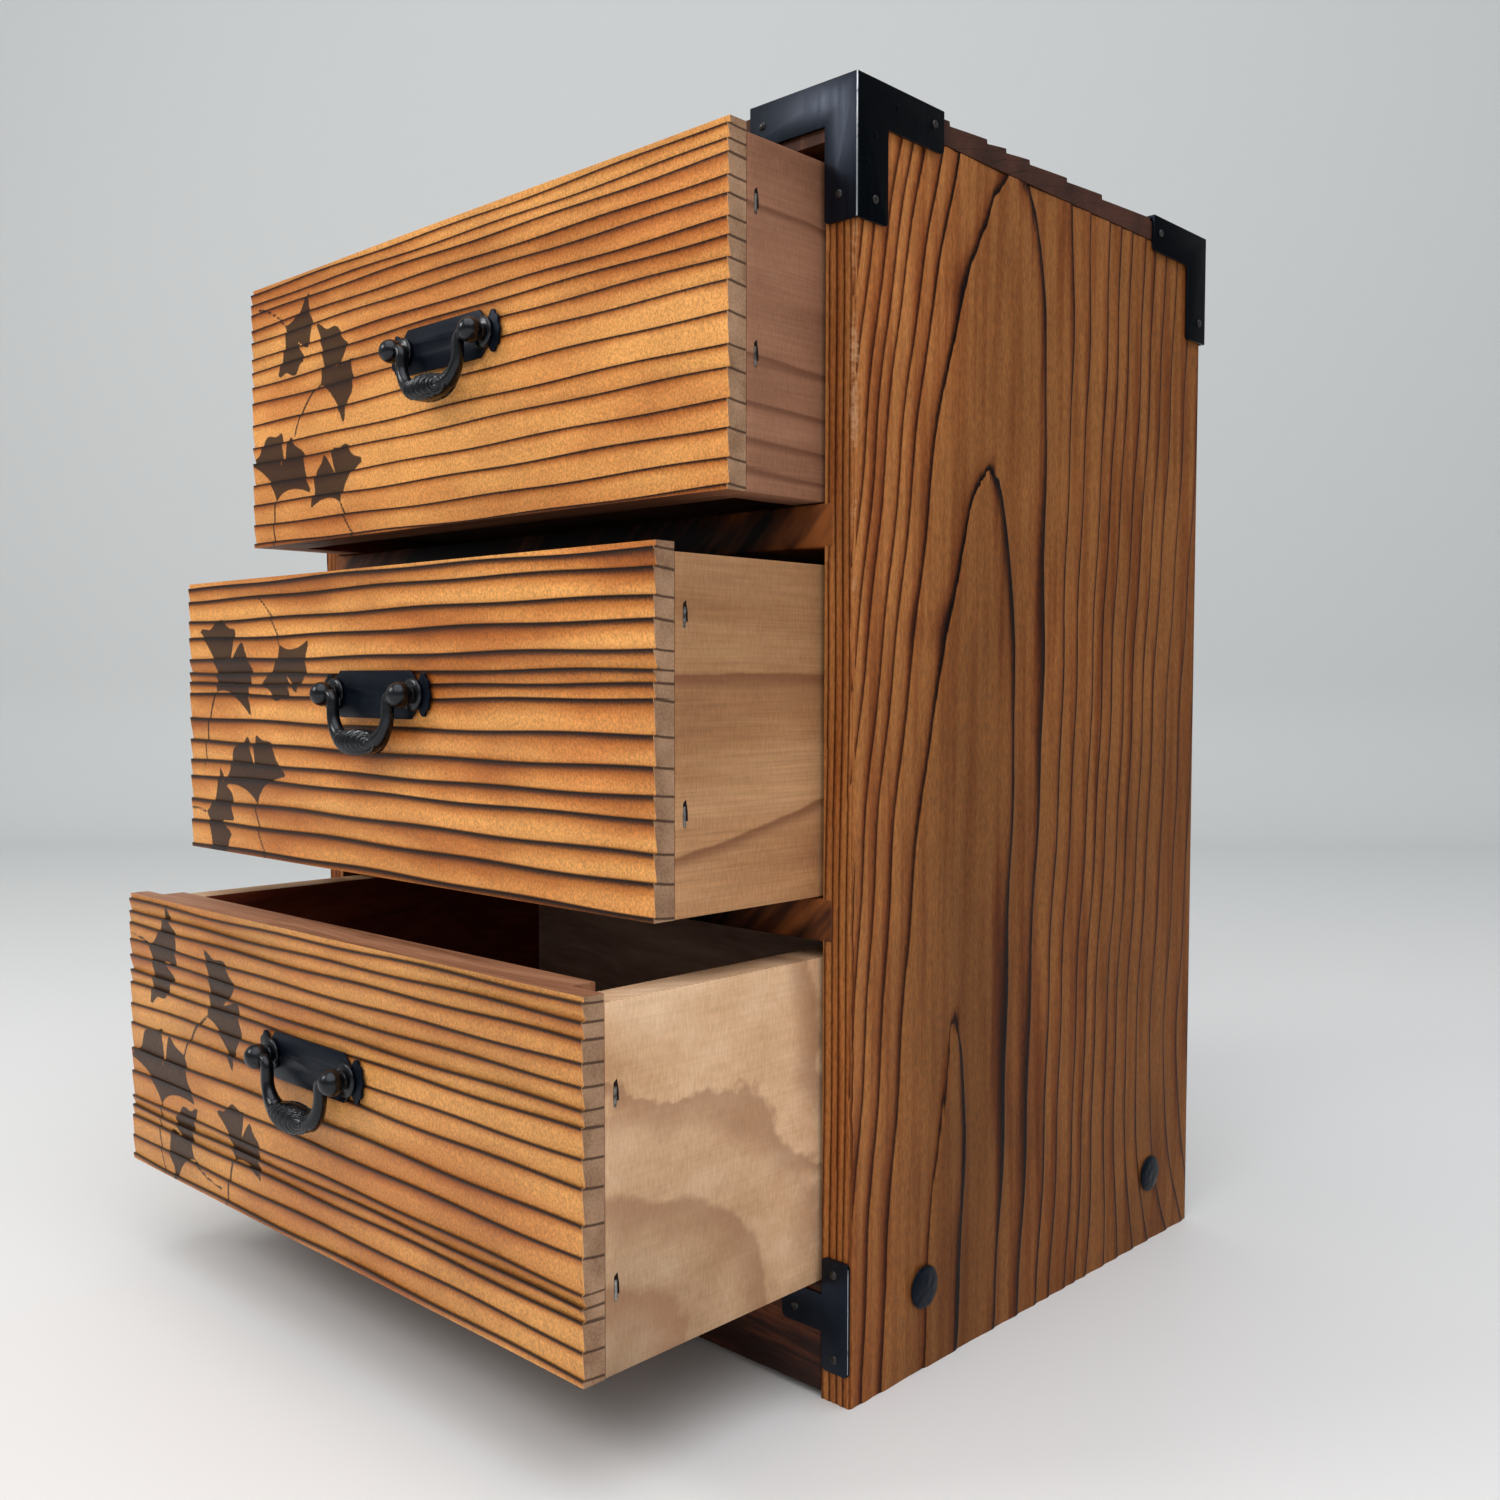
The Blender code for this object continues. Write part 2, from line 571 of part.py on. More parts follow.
def pull_bail(name, parent):
    """Bail with a swelling bow, its ends turned outwards into the posts; its origin is its axis."""
    right = bail_route()
    middle = [(0.0, -BAIL_DROP, BAIL_BOW_RADIUS)]
    route = right + middle + [(-x, z, r) for x, z, r in reversed(right)]
    curve = bpy.data.curves.new(name, "CURVE")
    curve.dimensions = "3D"
    curve.bevel_depth = 1.0
    curve.bevel_resolution = 4
    curve.use_fill_caps = True
    spline = curve.splines.new("POLY")
    spline.points.add(len(route) - 1)
    for point, (x, z, radius) in zip(spline.points, route):
        point.co = (x, 0, z, 1)
        point.radius = radius
    curve.materials.append(material(BLACK_IRON).copy())
    piece = bpy.data.objects.new(name, curve)
    bpy.context.scene.collection.objects.link(piece)
    piece.parent = parent
    piece.location = (0, -POST_STAND, PULL_RISE)
    return piece


def pull(drawer, parent):
    """One bail pull with its plate, posts, nuts and bail."""
    pull_plate(f"{drawer}_pull_plate", parent)
    for side, hand in (("left", -1), ("right", 1)):
        pull_post(f"{drawer}_pull_post_{side}", hand, parent)
        pull_nut(f"{drawer}_pull_nut_{side}", hand, parent)
    pull_bail(f"{drawer}_pull_bail", parent)


def build():
    """Make every piece of the chest."""
    for old in list(bpy.data.objects):
        bpy.data.objects.remove(old, do_unlink=True)
    side_board("side_left", -1)
    side_board("side_right", 1)
    top_board()
    case_boards()
    for side, hand in (("left", -1), ("right", 1)):
        corner_iron(f"iron_front_{side}", hand, -1)
        corner_iron(f"iron_back_{side}", hand, 1)
        t_plate(f"t_plate_{side}", hand)
        for place, y in zip(("front", "back"), stud_places()):
            dome_stud(f"stud_{side}_{place}", hand, y)
    for number, (drawer, pulled) in enumerate(zip(DRAWER_NAMES, DRAWER_PULLED)):
        floor = KICK_HEIGHT + number * (OPENING_HEIGHT + RAIL_HEIGHT) + DRAWER_UNDER_CLEARANCE
        slide = empty(f"{drawer}_slide", (0, Y_FRONT - pulled, floor))
        drawer_box(f"drawer_{drawer}", slide)
        pull(f"drawer_{drawer}", slide)


build()
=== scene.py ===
# %% [markdown]
# # A small drawer chest in burnt, brushed cedar
# The chest stands on a pale floor with its three drawers pulled open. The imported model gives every
# board and fitting its place, so this lesson only dresses it: it swaps plain solids for worn boards,
# folded irons and cast pulls that sit in exactly the same spots. Work in metres, with +Z up and the
# drawers opening towards -Y.

# %% Load the frame
import math

import bmesh
import bpy
import numpy as np
from mathutils import Matrix, Vector, noise


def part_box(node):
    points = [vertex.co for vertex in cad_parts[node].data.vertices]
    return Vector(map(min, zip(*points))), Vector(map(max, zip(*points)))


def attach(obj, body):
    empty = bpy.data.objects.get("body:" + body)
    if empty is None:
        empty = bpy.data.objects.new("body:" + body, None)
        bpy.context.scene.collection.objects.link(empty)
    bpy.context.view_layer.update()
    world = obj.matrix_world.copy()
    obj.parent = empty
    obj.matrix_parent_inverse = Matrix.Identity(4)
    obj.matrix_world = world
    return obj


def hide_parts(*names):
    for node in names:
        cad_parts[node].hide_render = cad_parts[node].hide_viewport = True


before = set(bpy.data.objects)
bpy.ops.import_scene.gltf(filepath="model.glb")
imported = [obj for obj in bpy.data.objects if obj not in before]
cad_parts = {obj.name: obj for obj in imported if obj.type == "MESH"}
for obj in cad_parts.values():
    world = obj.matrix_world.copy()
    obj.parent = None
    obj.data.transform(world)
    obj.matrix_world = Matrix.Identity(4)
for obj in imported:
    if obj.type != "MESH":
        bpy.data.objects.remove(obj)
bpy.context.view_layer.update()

MM = 0.001
DRAWERS = ("lower", "middle", "upper")
SIDES = (("left", -1), ("right", 1))
print("nodes in the frame:", len(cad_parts))

# %% [markdown]
# ## Where the camera stands
# A camera close to the object, at about the height of the middle drawer, gives the strong
# perspective of a phone picture. The angles are measured round the chest: azimuth from straight in
# front, elevation above the horizon. The three axes of the camera are built from them, so nothing has
# to be turned by hand.

# %% Camera
CAMERA_PLACE = Vector((0.4026, -0.5263, 0.2115))
CAMERA_AZIMUTH = math.radians(43.272)
CAMERA_ELEVATION = math.radians(2.67)
CAMERA_ROLL = math.radians(0.10)
LENS_MM, SENSOR_MM = 34.82, 36.0
CHEST_MIDDLE = Vector((0, -0.1, 0.19))

back = Vector((math.sin(CAMERA_AZIMUTH) * math.cos(CAMERA_ELEVATION),
               -math.cos(CAMERA_AZIMUTH) * math.cos(CAMERA_ELEVATION), math.sin(CAMERA_ELEVATION)))
level = Vector((0, 0, 1)).cross(back).normalized()
upright = back.cross(level)
right = math.cos(CAMERA_ROLL) * level + math.sin(CAMERA_ROLL) * upright
up = -math.sin(CAMERA_ROLL) * level + math.cos(CAMERA_ROLL) * upright
lens = bpy.data.cameras.new("camera")
lens.lens = LENS_MM
lens.sensor_width = SENSOR_MM
lens.sensor_fit = "HORIZONTAL"
lens.clip_start = 0.01
camera = bpy.data.objects.new("camera", lens)
camera.matrix_world = Matrix.Translation(CAMERA_PLACE) @ Matrix((right, up, back)).transposed().to_4x4()
bpy.context.scene.collection.objects.link(camera)
bpy.context.scene.camera = camera
print("camera", round((CAMERA_PLACE - CHEST_MIDDLE).length, 3), "m from the chest")

# %% [markdown]
# ## Helpers for materials
# Colours are picked as sRGB hex values and turned into the linear light that a shader works in. Two
# more helpers fill in a node's inputs, which are plain values or outputs of other nodes, and add a node
# with its settings. With them, a material reads from top to bottom like a recipe. Every finish is placed
# by the object's own coordinates in metres, so a scale says how often a pattern repeats in a metre.

# %% Colour and node helpers
def linear(hex_colour):
    parts = [int(hex_colour[i:i + 2], 16) / 255 for i in (1, 3, 5)]
    return tuple(p / 12.92 if p <= 0.04045 else ((p + 0.055) / 1.055) ** 2.4 for p in parts) + (1.0,)


def feed(tree, made, inputs):
    for socket, value in inputs.items():
        if isinstance(value, bpy.types.NodeSocket):
            tree.links.new(value, made.inputs[socket])
        else:
            made.inputs[socket].default_value = value


def node(tree, kind, inputs=None, stops=None, out=0, **settings):
    """Add a node with its inputs, colour stops and settings, and return its first output or another."""
    made = tree.nodes.new(kind)
    for setting, value in settings.items():
        setattr(made, setting, value)
    feed(tree, made, inputs or {})
    if stops:
        ramp = made.color_ramp.elements
        while len(ramp) < len(stops):
            ramp.new(1.0)
        for element, (place, colour) in zip(ramp, stops):
            element.position = place
            element.color = linear(colour)
    return made.outputs[out] if made.outputs else None


def new_finish(name):
    material = bpy.data.materials.new(name)
    material.use_nodes = True
    tree = material.node_tree
    place = node(tree, "ShaderNodeTexCoord", out="Object")
    return material, tree, tree.nodes["Principled BSDF"], place


NOISE = {"From Min": 0.3, "From Max": 0.7}  # most of a noise lies between these two values
print("white in linear light:", linear("#ffffff"))

# %% [markdown]
# ## Brushed, burnt cedar
# The boards were charred with a torch and brushed. The soft wood of each year ring wears away and
# shows golden, and the hard late wood stays proud and almost black. So the colour depends on one thing:
# how far a spot lies from the next ring line. Every ridged board carries two attributes, "ring", which
# counts rings across the board, and "width", the ring's width there in millimetres. The fraction of
# "ring" times "width" is a distance in millimetres, so lines stay crisp and equally thin everywhere.
# Fine brush marks, about half a millimetre wide, give the sparkle.

# %% Ring lines and the wood between them
def line_distances(tree, ring, width, stray):
    """Millimetres to the next ring line and from the last one, and the share of the ring passed."""
    waver = node(tree, "ShaderNodeMath", {0: ring, 1: stray}, operation="ADD")
    part = node(tree, "ShaderNodeMath", {0: waver}, operation="FRACT")
    rest = node(tree, "ShaderNodeMath", {0: 1.0, 1: part}, operation="SUBTRACT")
    before = node(tree, "ShaderNodeMath", {0: rest, 1: width}, operation="MULTIPLY")
    after = node(tree, "ShaderNodeMath", {0: part, 1: width}, operation="MULTIPLY")
    return before, after, part


def scorched_wood(tree, place, soft, width, streak, stops, reach, speck):
    """Colour of the wood between the lines, soft millimetres away from one, and its cloudy brightness."""
    uneven = node(tree, "ShaderNodeMapRange", {"Value": streak, **NOISE, "To Min": 1.5, "To Max": 0.65})
    room = node(tree, "ShaderNodeMath", {0: width, 1: 0.8}, operation="MULTIPLY")
    room = node(tree, "ShaderNodeMath", {0: room, 1: reach}, operation="MINIMUM")
    halo = node(tree, "ShaderNodeMath", {0: soft, 1: room}, operation="DIVIDE")
    halo = node(tree, "ShaderNodeMath", {0: halo, 1: uneven}, operation="MULTIPLY")
    tone = node(tree, "ShaderNodeValToRGB", {"Fac": halo}, stops=stops)
    # Reddish and greyish bands
    tint, strength = speck["tint"]
    hue = node(tree, "ShaderNodeMapRange", {"Value": streak, "From Min": 0.42, "From Max": 0.62,
                                            "To Max": strength})
    tone = node(tree, "ShaderNodeMix", {0: hue, 6: tone, 7: linear(tint)}, data_type="RGBA",
                blend_type="MULTIPLY", out=2)
    clouds = node(tree, "ShaderNodeTexNoise", {"Vector": place, "Scale": 26.0, "Detail": 3.0})
    dim, bright = speck["cloud"]
    cloud = node(tree, "ShaderNodeMapRange", {"Value": clouds, **NOISE, "To Min": dim, "To Max": bright})
    return tone, cloud


def charred_line(tree, mark, soft, hard, core):
    """How charred a spot is: crisp on a line's hard side, with a ragged soft edge on the other."""
    frayed = node(tree, "ShaderNodeMapRange", {"Value": mark, **NOISE, "To Min": -0.16, "To Max": 0.14})
    frayed = node(tree, "ShaderNodeMath", {0: frayed, 1: soft}, operation="ADD")
    near, far = core * 0.3, core * 1.55
    burnt = node(tree, "ShaderNodeMapRange", {"Value": frayed, "From Min": near, "From Max": far,
                                              "To Min": 1.0, "To Max": 0.0})
    edge = node(tree, "ShaderNodeMapRange", {"Value": hard, "From Min": 0.05, "From Max": core * 0.55,
                                             "To Min": 1.0, "To Max": 0.0})
    return node(tree, "ShaderNodeMath", {0: burnt, 1: edge}, operation="MAXIMUM")


print("parts of the brushed finish ready")

# %% [markdown]
# The finish itself puts these parts together. Three things are not on every board, so they are asked for
# by name. On a side board, "arch", a soft dark trails to the front of each line, which is outside it
# before the heart of the tree and inside it behind; it is partly scorch and partly painted shade of the
# ring steps. On a rubbed corner, "worn", pale torn fibres show. On a drawer front, "painted", dark leaves
# lie on the wood.

# %% Finish of the ridged boards
def brushed_cedar(name, stops, char, reach, core, speck, relief, gloss, shine, arch=False, worn=None,
                  painted=False):
    """stops colour the wood from a ring line outwards over reach millimetres; char is the line itself.

    core is the line's width and relief the step at it, in millimetres, gloss the range of roughness,
    and speck holds the sizes and strengths of streaks, brush marks, bands and clouds.
    """
    material, tree, shader, place = new_finish(name)
    ring = node(tree, "ShaderNodeAttribute", out="Fac", attribute_name="ring")
    width = node(tree, "ShaderNodeAttribute", out="Fac", attribute_name="width")
    # Long soft streaks along the grain, so no two rings look alike
    streaks = node(tree, "ShaderNodeMapping", {"Vector": place, "Scale": speck["streak"]})
    streak = node(tree, "ShaderNodeTexNoise", {"Vector": streaks, "Scale": 1.0, "Detail": 4.0})
    # Brush marks
    marks = node(tree, "ShaderNodeMapping", {"Vector": place, "Scale": speck["mark"]})
    mark = node(tree, "ShaderNodeTexNoise", {"Vector": marks, "Scale": 1.0, "Detail": 2.0,
                                             "Roughness": 0.7})
    # Lines waver a little: a share of one ring
    stray = node(tree, "ShaderNodeMapRange", {"Value": streak, "To Min": -speck["waver"],
                                              "To Max": speck["waver"]})
    before, after, part = line_distances(tree, ring, width, stray)
    soft, hard = before, after
    # On a side board the soft dark side of each line, towards the front, is partly scorch and partly painted
    # shade of the ring steps
    if arch:
        inner = node(tree, "ShaderNodeAttribute", out="Fac", attribute_name="inner")
        outer = node(tree, "ShaderNodeAttribute", out="Fac", attribute_name="outer")
        inner = node(tree, "ShaderNodeMath", {0: before, 1: inner}, operation="ADD")
        outer = node(tree, "ShaderNodeMath", {0: after, 1: outer}, operation="ADD")
        soft = node(tree, "ShaderNodeMath", {0: inner, 1: outer}, operation="MINIMUM")
        hard = node(tree, "ShaderNodeMath", {0: before, 1: after}, operation="MINIMUM")
    if arch or painted:
        # "bold" is how many times as wide as usual a line is burnt; behind the heart of a side board this is
        # partly painted shade
        bold = node(tree, "ShaderNodeAttribute", out="Fac", attribute_name="bold")
        soft = node(tree, "ShaderNodeMath", {0: soft, 1: bold}, operation="DIVIDE")
    tone, light = scorched_wood(tree, place, soft, width, streak, stops, reach, speck)
    dim, bright = speck["fleck"]
    fleck = node(tree, "ShaderNodeMapRange", {"Value": mark, **NOISE, "To Min": dim, "To Max": bright})
    light = node(tree, "ShaderNodeMath", {0: light, 1: fleck}, operation="MULTIPLY")
    if arch or painted:
        # Heartwood is duller than the rest, and some boards are duller than others; the lower drawer front is
        # painted darker still, as painted shade, since less light reaches it
        deep = node(tree, "ShaderNodeAttribute", out="Fac", attribute_name="deep")
        light = node(tree, "ShaderNodeMath", {0: light, 1: deep}, operation="MULTIPLY")
    colour = node(tree, "ShaderNodeVectorMath", {0: tone, "Scale": light}, operation="SCALE")
    if painted:
        # "burn" is the distance to a painted leaf's outline in millimetres, negative inside
        burn = node(tree, "ShaderNodeAttribute", out="Fac", attribute_name="burn")
        ragged = node(tree, "ShaderNodeMath", {0: mark, 1: 0.5, 2: burn}, operation="MULTIPLY_ADD")
        cover = node(tree, "ShaderNodeMapRange", {"Value": ragged, "From Min": 0.05, "From Max": 0.45,
                                                  "To Min": 0.92, "To Max": 0.0})
        ink = node(tree, "ShaderNodeMix", {0: fleck, 6: linear("#150d09"), 7: linear("#201510")},
                   data_type="RGBA", out=2)
        colour = node(tree, "ShaderNodeMix", {0: cover, 6: colour, 7: ink}, data_type="RGBA", out=2)
    line = charred_line(tree, mark, soft, hard, core)
    if arch:
        fade = node(tree, "ShaderNodeAttribute", out="Fac", attribute_name="fade")
        line = node(tree, "ShaderNodeMath", {0: line, 1: fade}, operation="MULTIPLY")
    colour = node(tree, "ShaderNodeMix", {0: line, 6: colour, 7: linear(char)}, data_type="RGBA", out=2)
    if worn:
        # The sharp corner has lost its burnt skin: pale torn fibres show where "wear" is high
        wear = node(tree, "ShaderNodeAttribute", out="Fac", attribute_name="wear")
        fibres = node(tree, "ShaderNodeTexNoise", {"Vector": place, "Scale": 650.0, "Detail": 5.0})
        both = node(tree, "ShaderNodeMath", {0: wear, 1: fibres}, operation="MULTIPLY")
        bare = node(tree, "ShaderNodeMapRange", {"Value": both, "From Min": 0.3, "From Max": 0.55,
                                                 "To Max": 0.85})
        colour = node(tree, "ShaderNodeMix", {0: bare, 6: colour, 7: linear(worn)}, data_type="RGBA", out=2)
    rough = node(tree, "ShaderNodeMapRange", {"Value": mark, **NOISE,
                                              "To Min": gloss[0], "To Max": gloss[1]})
    # Relief in metres: the step at each ring line, and the brush marks on top
    step = node(tree, "ShaderNodeMath", {0: part, 1: relief * MM}, operation="MULTIPLY")
    height = node(tree, "ShaderNodeMath", {0: mark, 1: speck["bite"] * MM, 2: step},
                  operation="MULTIPLY_ADD")
    bump = node(tree, "ShaderNodeBump", {"Height": height, "Distance": 1.0, "Strength": 1.0})
    feed(tree, shader, {"Base Color": colour, "Roughness": rough, "Specular IOR Level": shine,
                        "Normal": bump})
    return material


print("brushed finish ready")

# %% [markdown]
# On the boards of the case the dark lines trail off to one side. The drawer fronts were brushed harder, so
# they are golden and glossier. The top is the darkest, as the torch stayed on it longest. The brush marks
# are drawn about twice as coarse as the real ones, so that they show.

# %% Three brushed finishes
cedar_side = brushed_cedar(
    "cedar_burnt_brushed_case", char="#090301", core=0.75,
    stops=[(0.0, "#4a210e"), (0.14, "#6f3a1b"), (0.32, "#8f5229"), (0.62, "#a56636"), (1.0, "#ad6f3c")],
    reach=4.5, relief=0.15, gloss=(0.45, 0.65), shine=0.1, arch=True, worn="#b98a63",
    speck={"streak": (210, 210, 10), "mark": (1250, 1250, 420), "waver": 0.05, "tint": ("#c9a68f", 0.55),
           "cloud": (0.9, 1.08), "fleck": (0.74, 1.26), "bite": 0.08})
cedar_front = brushed_cedar(
    "cedar_burnt_brushed_drawer", char="#190b04", core=0.66,
    stops=[(0.0, "#4c2913"), (0.18, "#844a1b"), (0.4, "#c07635"), (0.7, "#dd954e"), (1.0, "#eba65c")],
    reach=3.8, relief=0.0, gloss=(0.30, 0.54), shine=0.2, worn="#cf9a6a", painted=True,
    speck={"streak": (11, 11, 45), "mark": (1500, 1500, 1150), "waver": 0.0, "tint": ("#d8b4a0", 0.6),
           "cloud": (0.88, 1.1), "fleck": (0.68, 1.28), "bite": 0.14})
cedar_top = brushed_cedar(
    "cedar_burnt_dark_top", char="#140906", core=0.9,
    stops=[(0.0, "#2b150c"), (0.3, "#4a2816"), (0.65, "#693c22"), (1.0, "#7c4a2b")],
    reach=16.0, relief=0.0, gloss=(0.42, 0.66), shine=0.2,
    speck={"streak": (8, 110, 60), "mark": (330, 1100, 1100), "waver": 0.04, "tint": ("#c9aca0", 0.7),
           "cloud": (0.82, 1.15), "fleck": (0.78, 1.22), "bite": 0.08})
print("brushed finishes:", cedar_side.name, cedar_front.name, cedar_top.name)

# %% [markdown]
# ## Plain cut wood
# Where a board was only sawn or planed, the wood looks different on each cut. End grain is greyish and
# shows the ring lines as thin dark threads. Planed faces show long straight streaks. One finish with a
# direction, a pair of streak colours and a wander covers the planed faces of the case, and the end
# grain gets its own because it reads the same "ring" attribute as the ridges do.

# %% End grain
def end_grain(name, pale, dark, thread):
    material, tree, shader, place = new_finish(name)
    ring = node(tree, "ShaderNodeAttribute", out="Fac", attribute_name="ring")
    width = node(tree, "ShaderNodeAttribute", out="Fac", attribute_name="width")
    pores = node(tree, "ShaderNodeTexNoise", {"Vector": place, "Scale": 1400.0, "Detail": 2.0})
    clouds = node(tree, "ShaderNodeTexNoise", {"Vector": place, "Scale": 90.0, "Detail": 2.0})
    mixed = node(tree, "ShaderNodeMath", {0: pores, 1: 0.55, 2: clouds}, operation="MULTIPLY_ADD")
    ground = node(tree, "ShaderNodeMapRange", {"Value": mixed, "From Min": 0.55, "From Max": 1.0})
    base = node(tree, "ShaderNodeMix", {0: ground, 6: linear(dark), 7: linear(pale)},
                data_type="RGBA", out=2)
    part = node(tree, "ShaderNodeMath", {0: ring, 1: 0.5}, operation="ADD")
    wrapped = node(tree, "ShaderNodeMath", {0: part}, operation="FRACT")
    centred = node(tree, "ShaderNodeMath", {0: wrapped, 1: 0.5}, operation="SUBTRACT")
    away = node(tree, "ShaderNodeMath", {0: centred}, operation="ABSOLUTE")
    distance = node(tree, "ShaderNodeMath", {0: away, 1: width}, operation="MULTIPLY")
    line = node(tree, "ShaderNodeMapRange", {"Value": distance, "From Min": 0.22, "From Max": 0.5,
                                             "To Min": 0.85, "To Max": 0.0})
    colour = node(tree, "ShaderNodeMix", {0: line, 6: base, 7: linear(thread)}, data_type="RGBA", out=2)
    height = node(tree, "ShaderNodeMath", {0: pores, 1: 0.06 * MM}, operation="MULTIPLY")
    bump = node(tree, "ShaderNodeBump", {"Height": height, "Distance": 1.0})
    feed(tree, shader, {"Base Color": colour, "Roughness": 0.72, "Specular IOR Level": 0.25, "Normal": bump})
    return material


front_ends = end_grain("cedar_end_grain_drawer", "#b08c6e", "#84634a", "#3a2316")
top_ends = end_grain("cedar_end_grain_top", "#512e22", "#321b13", "#150906")
print("end grain:", front_ends.name, top_ends.name)


# %% Planed faces
def planed_wood(name, stops, streaks, wander, roughness, bite=0.03, turn=(0, 0, 0), shadow_half_width=None):
    """streaks is how many fit in a metre along X, Y and Z: few along the grain, which turn slants.

    shadow_half_width is how far in metres from the middle of the chest the wood is painted dark as the shadow
    of the drawer above; beyond it the wood is lighter.
    """
    material, tree, shader, place = new_finish(name)
    bend = node(tree, "ShaderNodeTexNoise", {"Vector": place, "Scale": 9.0, "Detail": 1.0}, out="Color")
    moved = node(tree, "ShaderNodeVectorMath", {0: bend, 1: (wander, wander, wander), 2: place},
                 operation="MULTIPLY_ADD")
    turned = node(tree, "ShaderNodeMapping", {"Vector": moved, "Rotation": turn})
    drawn = node(tree, "ShaderNodeMapping", {"Vector": turned, "Scale": streaks})
    band = node(tree, "ShaderNodeTexNoise", {"Vector": drawn, "Scale": 1.0, "Detail": 4.0,
                                             "Roughness": 0.65})
    fine = node(tree, "ShaderNodeVectorMath", {0: drawn, "Scale": 9.0}, operation="SCALE")
    fibre = node(tree, "ShaderNodeTexNoise", {"Vector": fine, "Scale": 1.0, "Detail": 2.0})
    both = node(tree, "ShaderNodeMath", {0: fibre, 1: 0.3, 2: band}, operation="MULTIPLY_ADD")
    spread = node(tree, "ShaderNodeMapRange", {"Value": both, "From Min": 0.42, "From Max": 0.88})
    # Painted shadow: nearer the middle than this the wood is painted dark, as the drawer above shades it, and
    # lighter beyond
    if shadow_half_width:
        across = node(tree, "ShaderNodeSeparateXYZ", {0: place})
        far = node(tree, "ShaderNodeMath", {0: across}, operation="ABSOLUTE")
        lighter = node(tree, "ShaderNodeMapRange", {"Value": far, "From Min": shadow_half_width - 0.05,
                                                    "From Max": shadow_half_width, "To Min": -0.12,
                                                    "To Max": 0.36})
        spread = node(tree, "ShaderNodeMath", {0: spread, 1: lighter}, operation="ADD")
    colour = node(tree, "ShaderNodeValToRGB", {"Fac": spread}, stops=stops)
    height = node(tree, "ShaderNodeMath", {0: fibre, 1: bite * MM}, operation="MULTIPLY")
    bump = node(tree, "ShaderNodeBump", {"Height": height, "Distance": 1.0})
    feed(tree, shader, {"Base Color": colour, "Roughness": roughness, "Specular IOR Level": 0.25,
                        "Normal": bump})
    return material


front_back = planed_wood("cedar_planed_drawer", [(0.0, "#6b432b"), (0.5, "#92654a"), (1.0, "#ae8262")],
                         (7, 160, 160), 0.012, 0.6)
case_inside = planed_wood("cedar_planed_case", [(0.0, "#2f1a10"), (0.5, "#4c2e1e"), (1.0, "#6a432c")],
                          (150, 150, 6), 0.012, 0.65)
print("planed faces:", front_back.name, case_inside.name)

# %% [markdown]
# ## From numbers to a piece
# A ridged board is a grid of points, so it starts as arrays. A plain board or an iron starts as a copy of
# its solid. Either way these helpers make the mesh, store the attributes, sort out which way the faces
# look, give it its finishes and hand the piece over: the body it rides on and the CAD node it stands for.

# %% Piece helpers
def hand_over(piece, body, slot, *nodes):
    bpy.context.scene.collection.objects.link(piece)
    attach(piece, body)
    if nodes:
        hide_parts(*nodes)
    return piece


def mesh_from(bm, name):
    # Modelling steps leave the faces in a chance order, so they are put in the order of their points
    bm.verts.index_update()
    for number, face in enumerate(sorted(bm.faces, key=lambda face: sorted(v.index for v in face.verts))):
        face.index = number
    bm.faces.sort()
    mesh = bpy.data.meshes.new(name)
    bm.to_mesh(mesh)
    bm.free()
    return mesh


def store(mesh, values):
    for value, numbers in values.items():
        layer = mesh.attributes.new(value, "FLOAT", "POINT")
        layer.data.foreach_set("value", np.asarray(numbers, np.float32).ravel())


def dress(mesh, finishes, sharp):
    """Add the finishes and shade smoothly, except over edges sharper than this many degrees."""
    for finish in finishes:
        mesh.materials.append(finish)
    mesh.shade_smooth()
    mesh.set_sharp_from_angle(angle=math.radians(sharp))


def piece_from_arrays(name, points, faces, finishes, looks, values, sharp=35):
    mesh = bpy.data.meshes.new(name)
    mesh.from_pydata(points.tolist(), [], faces)
    bm = bmesh.new()
    bm.from_mesh(mesh)
    bmesh.ops.recalc_face_normals(bm, faces=bm.faces)
    bm.to_mesh(mesh)
    bm.free()
    store(mesh, values)
    mesh.polygons.foreach_set("material_index", np.asarray(looks, np.int32))
    dress(mesh, finishes, sharp)
    return bpy.data.objects.new(name, mesh)


def tube_faces(count, loop):
    """Faces of a tube of count rings with loop points each, closed at both ends."""
    faces = [(r * loop + c, r * loop + (c + 1) % loop, (r + 1) * loop + (c + 1) % loop, (r + 1) * loop + c)
             for r in range(count - 1) for c in range(loop)]
    return faces + [tuple(range(loop)), tuple(range((count - 1) * loop, count * loop))]


print("a tube of 3 rings with 4 points has", len(tube_faces(3, 4)), "faces")

# %% [markdown]
# ## Side boards
# The board was cut along the trunk, so its year rings show as tall arches, with straight lines towards
# the edges. That pattern is simply a trunk's circles seen in a flat cut: every spot of the face has a
# distance from the heart of the tree, and each ring is one such distance. The heart's line leans and
# lies deeper towards the top, which draws the arches out. The grid follows the worn surface, averaged
# over its own mesh size so that slanting lines leave no stairs, and the material adds the crisp steps.

# %% Rings of a flat-cut board
RING_RADII_MM = [0, 14, 25, 36, 46, 56, 65.3, 72.4, 81.5, 87.5, 93.7, 101.7, 108.1, 115.5, 123, 133.3, 143.8,
                 154, 163, 172, 181, 190, 200]
HEART_MM, HEART_DEPTH_MM, SHALLOWEST_MM = 45.3, 36, 102
# Near the foot of the tree the rings behind the heart spread out
FLARE, FLARE_BELOW_MM, FLARE_BEHIND_MM = 0.0028, 85, 130


def rising(value, start, span):
    """0 at start and 1 past a span from there, which is negative to count downwards."""
    return np.clip((value - start) / span, 0, 1)


def heart_line(rise):
    """How far back the heart lies under the face, in millimetres from the front edge."""
    return HEART_MM + 0.052 * rise + 0.000123 * rise ** 2


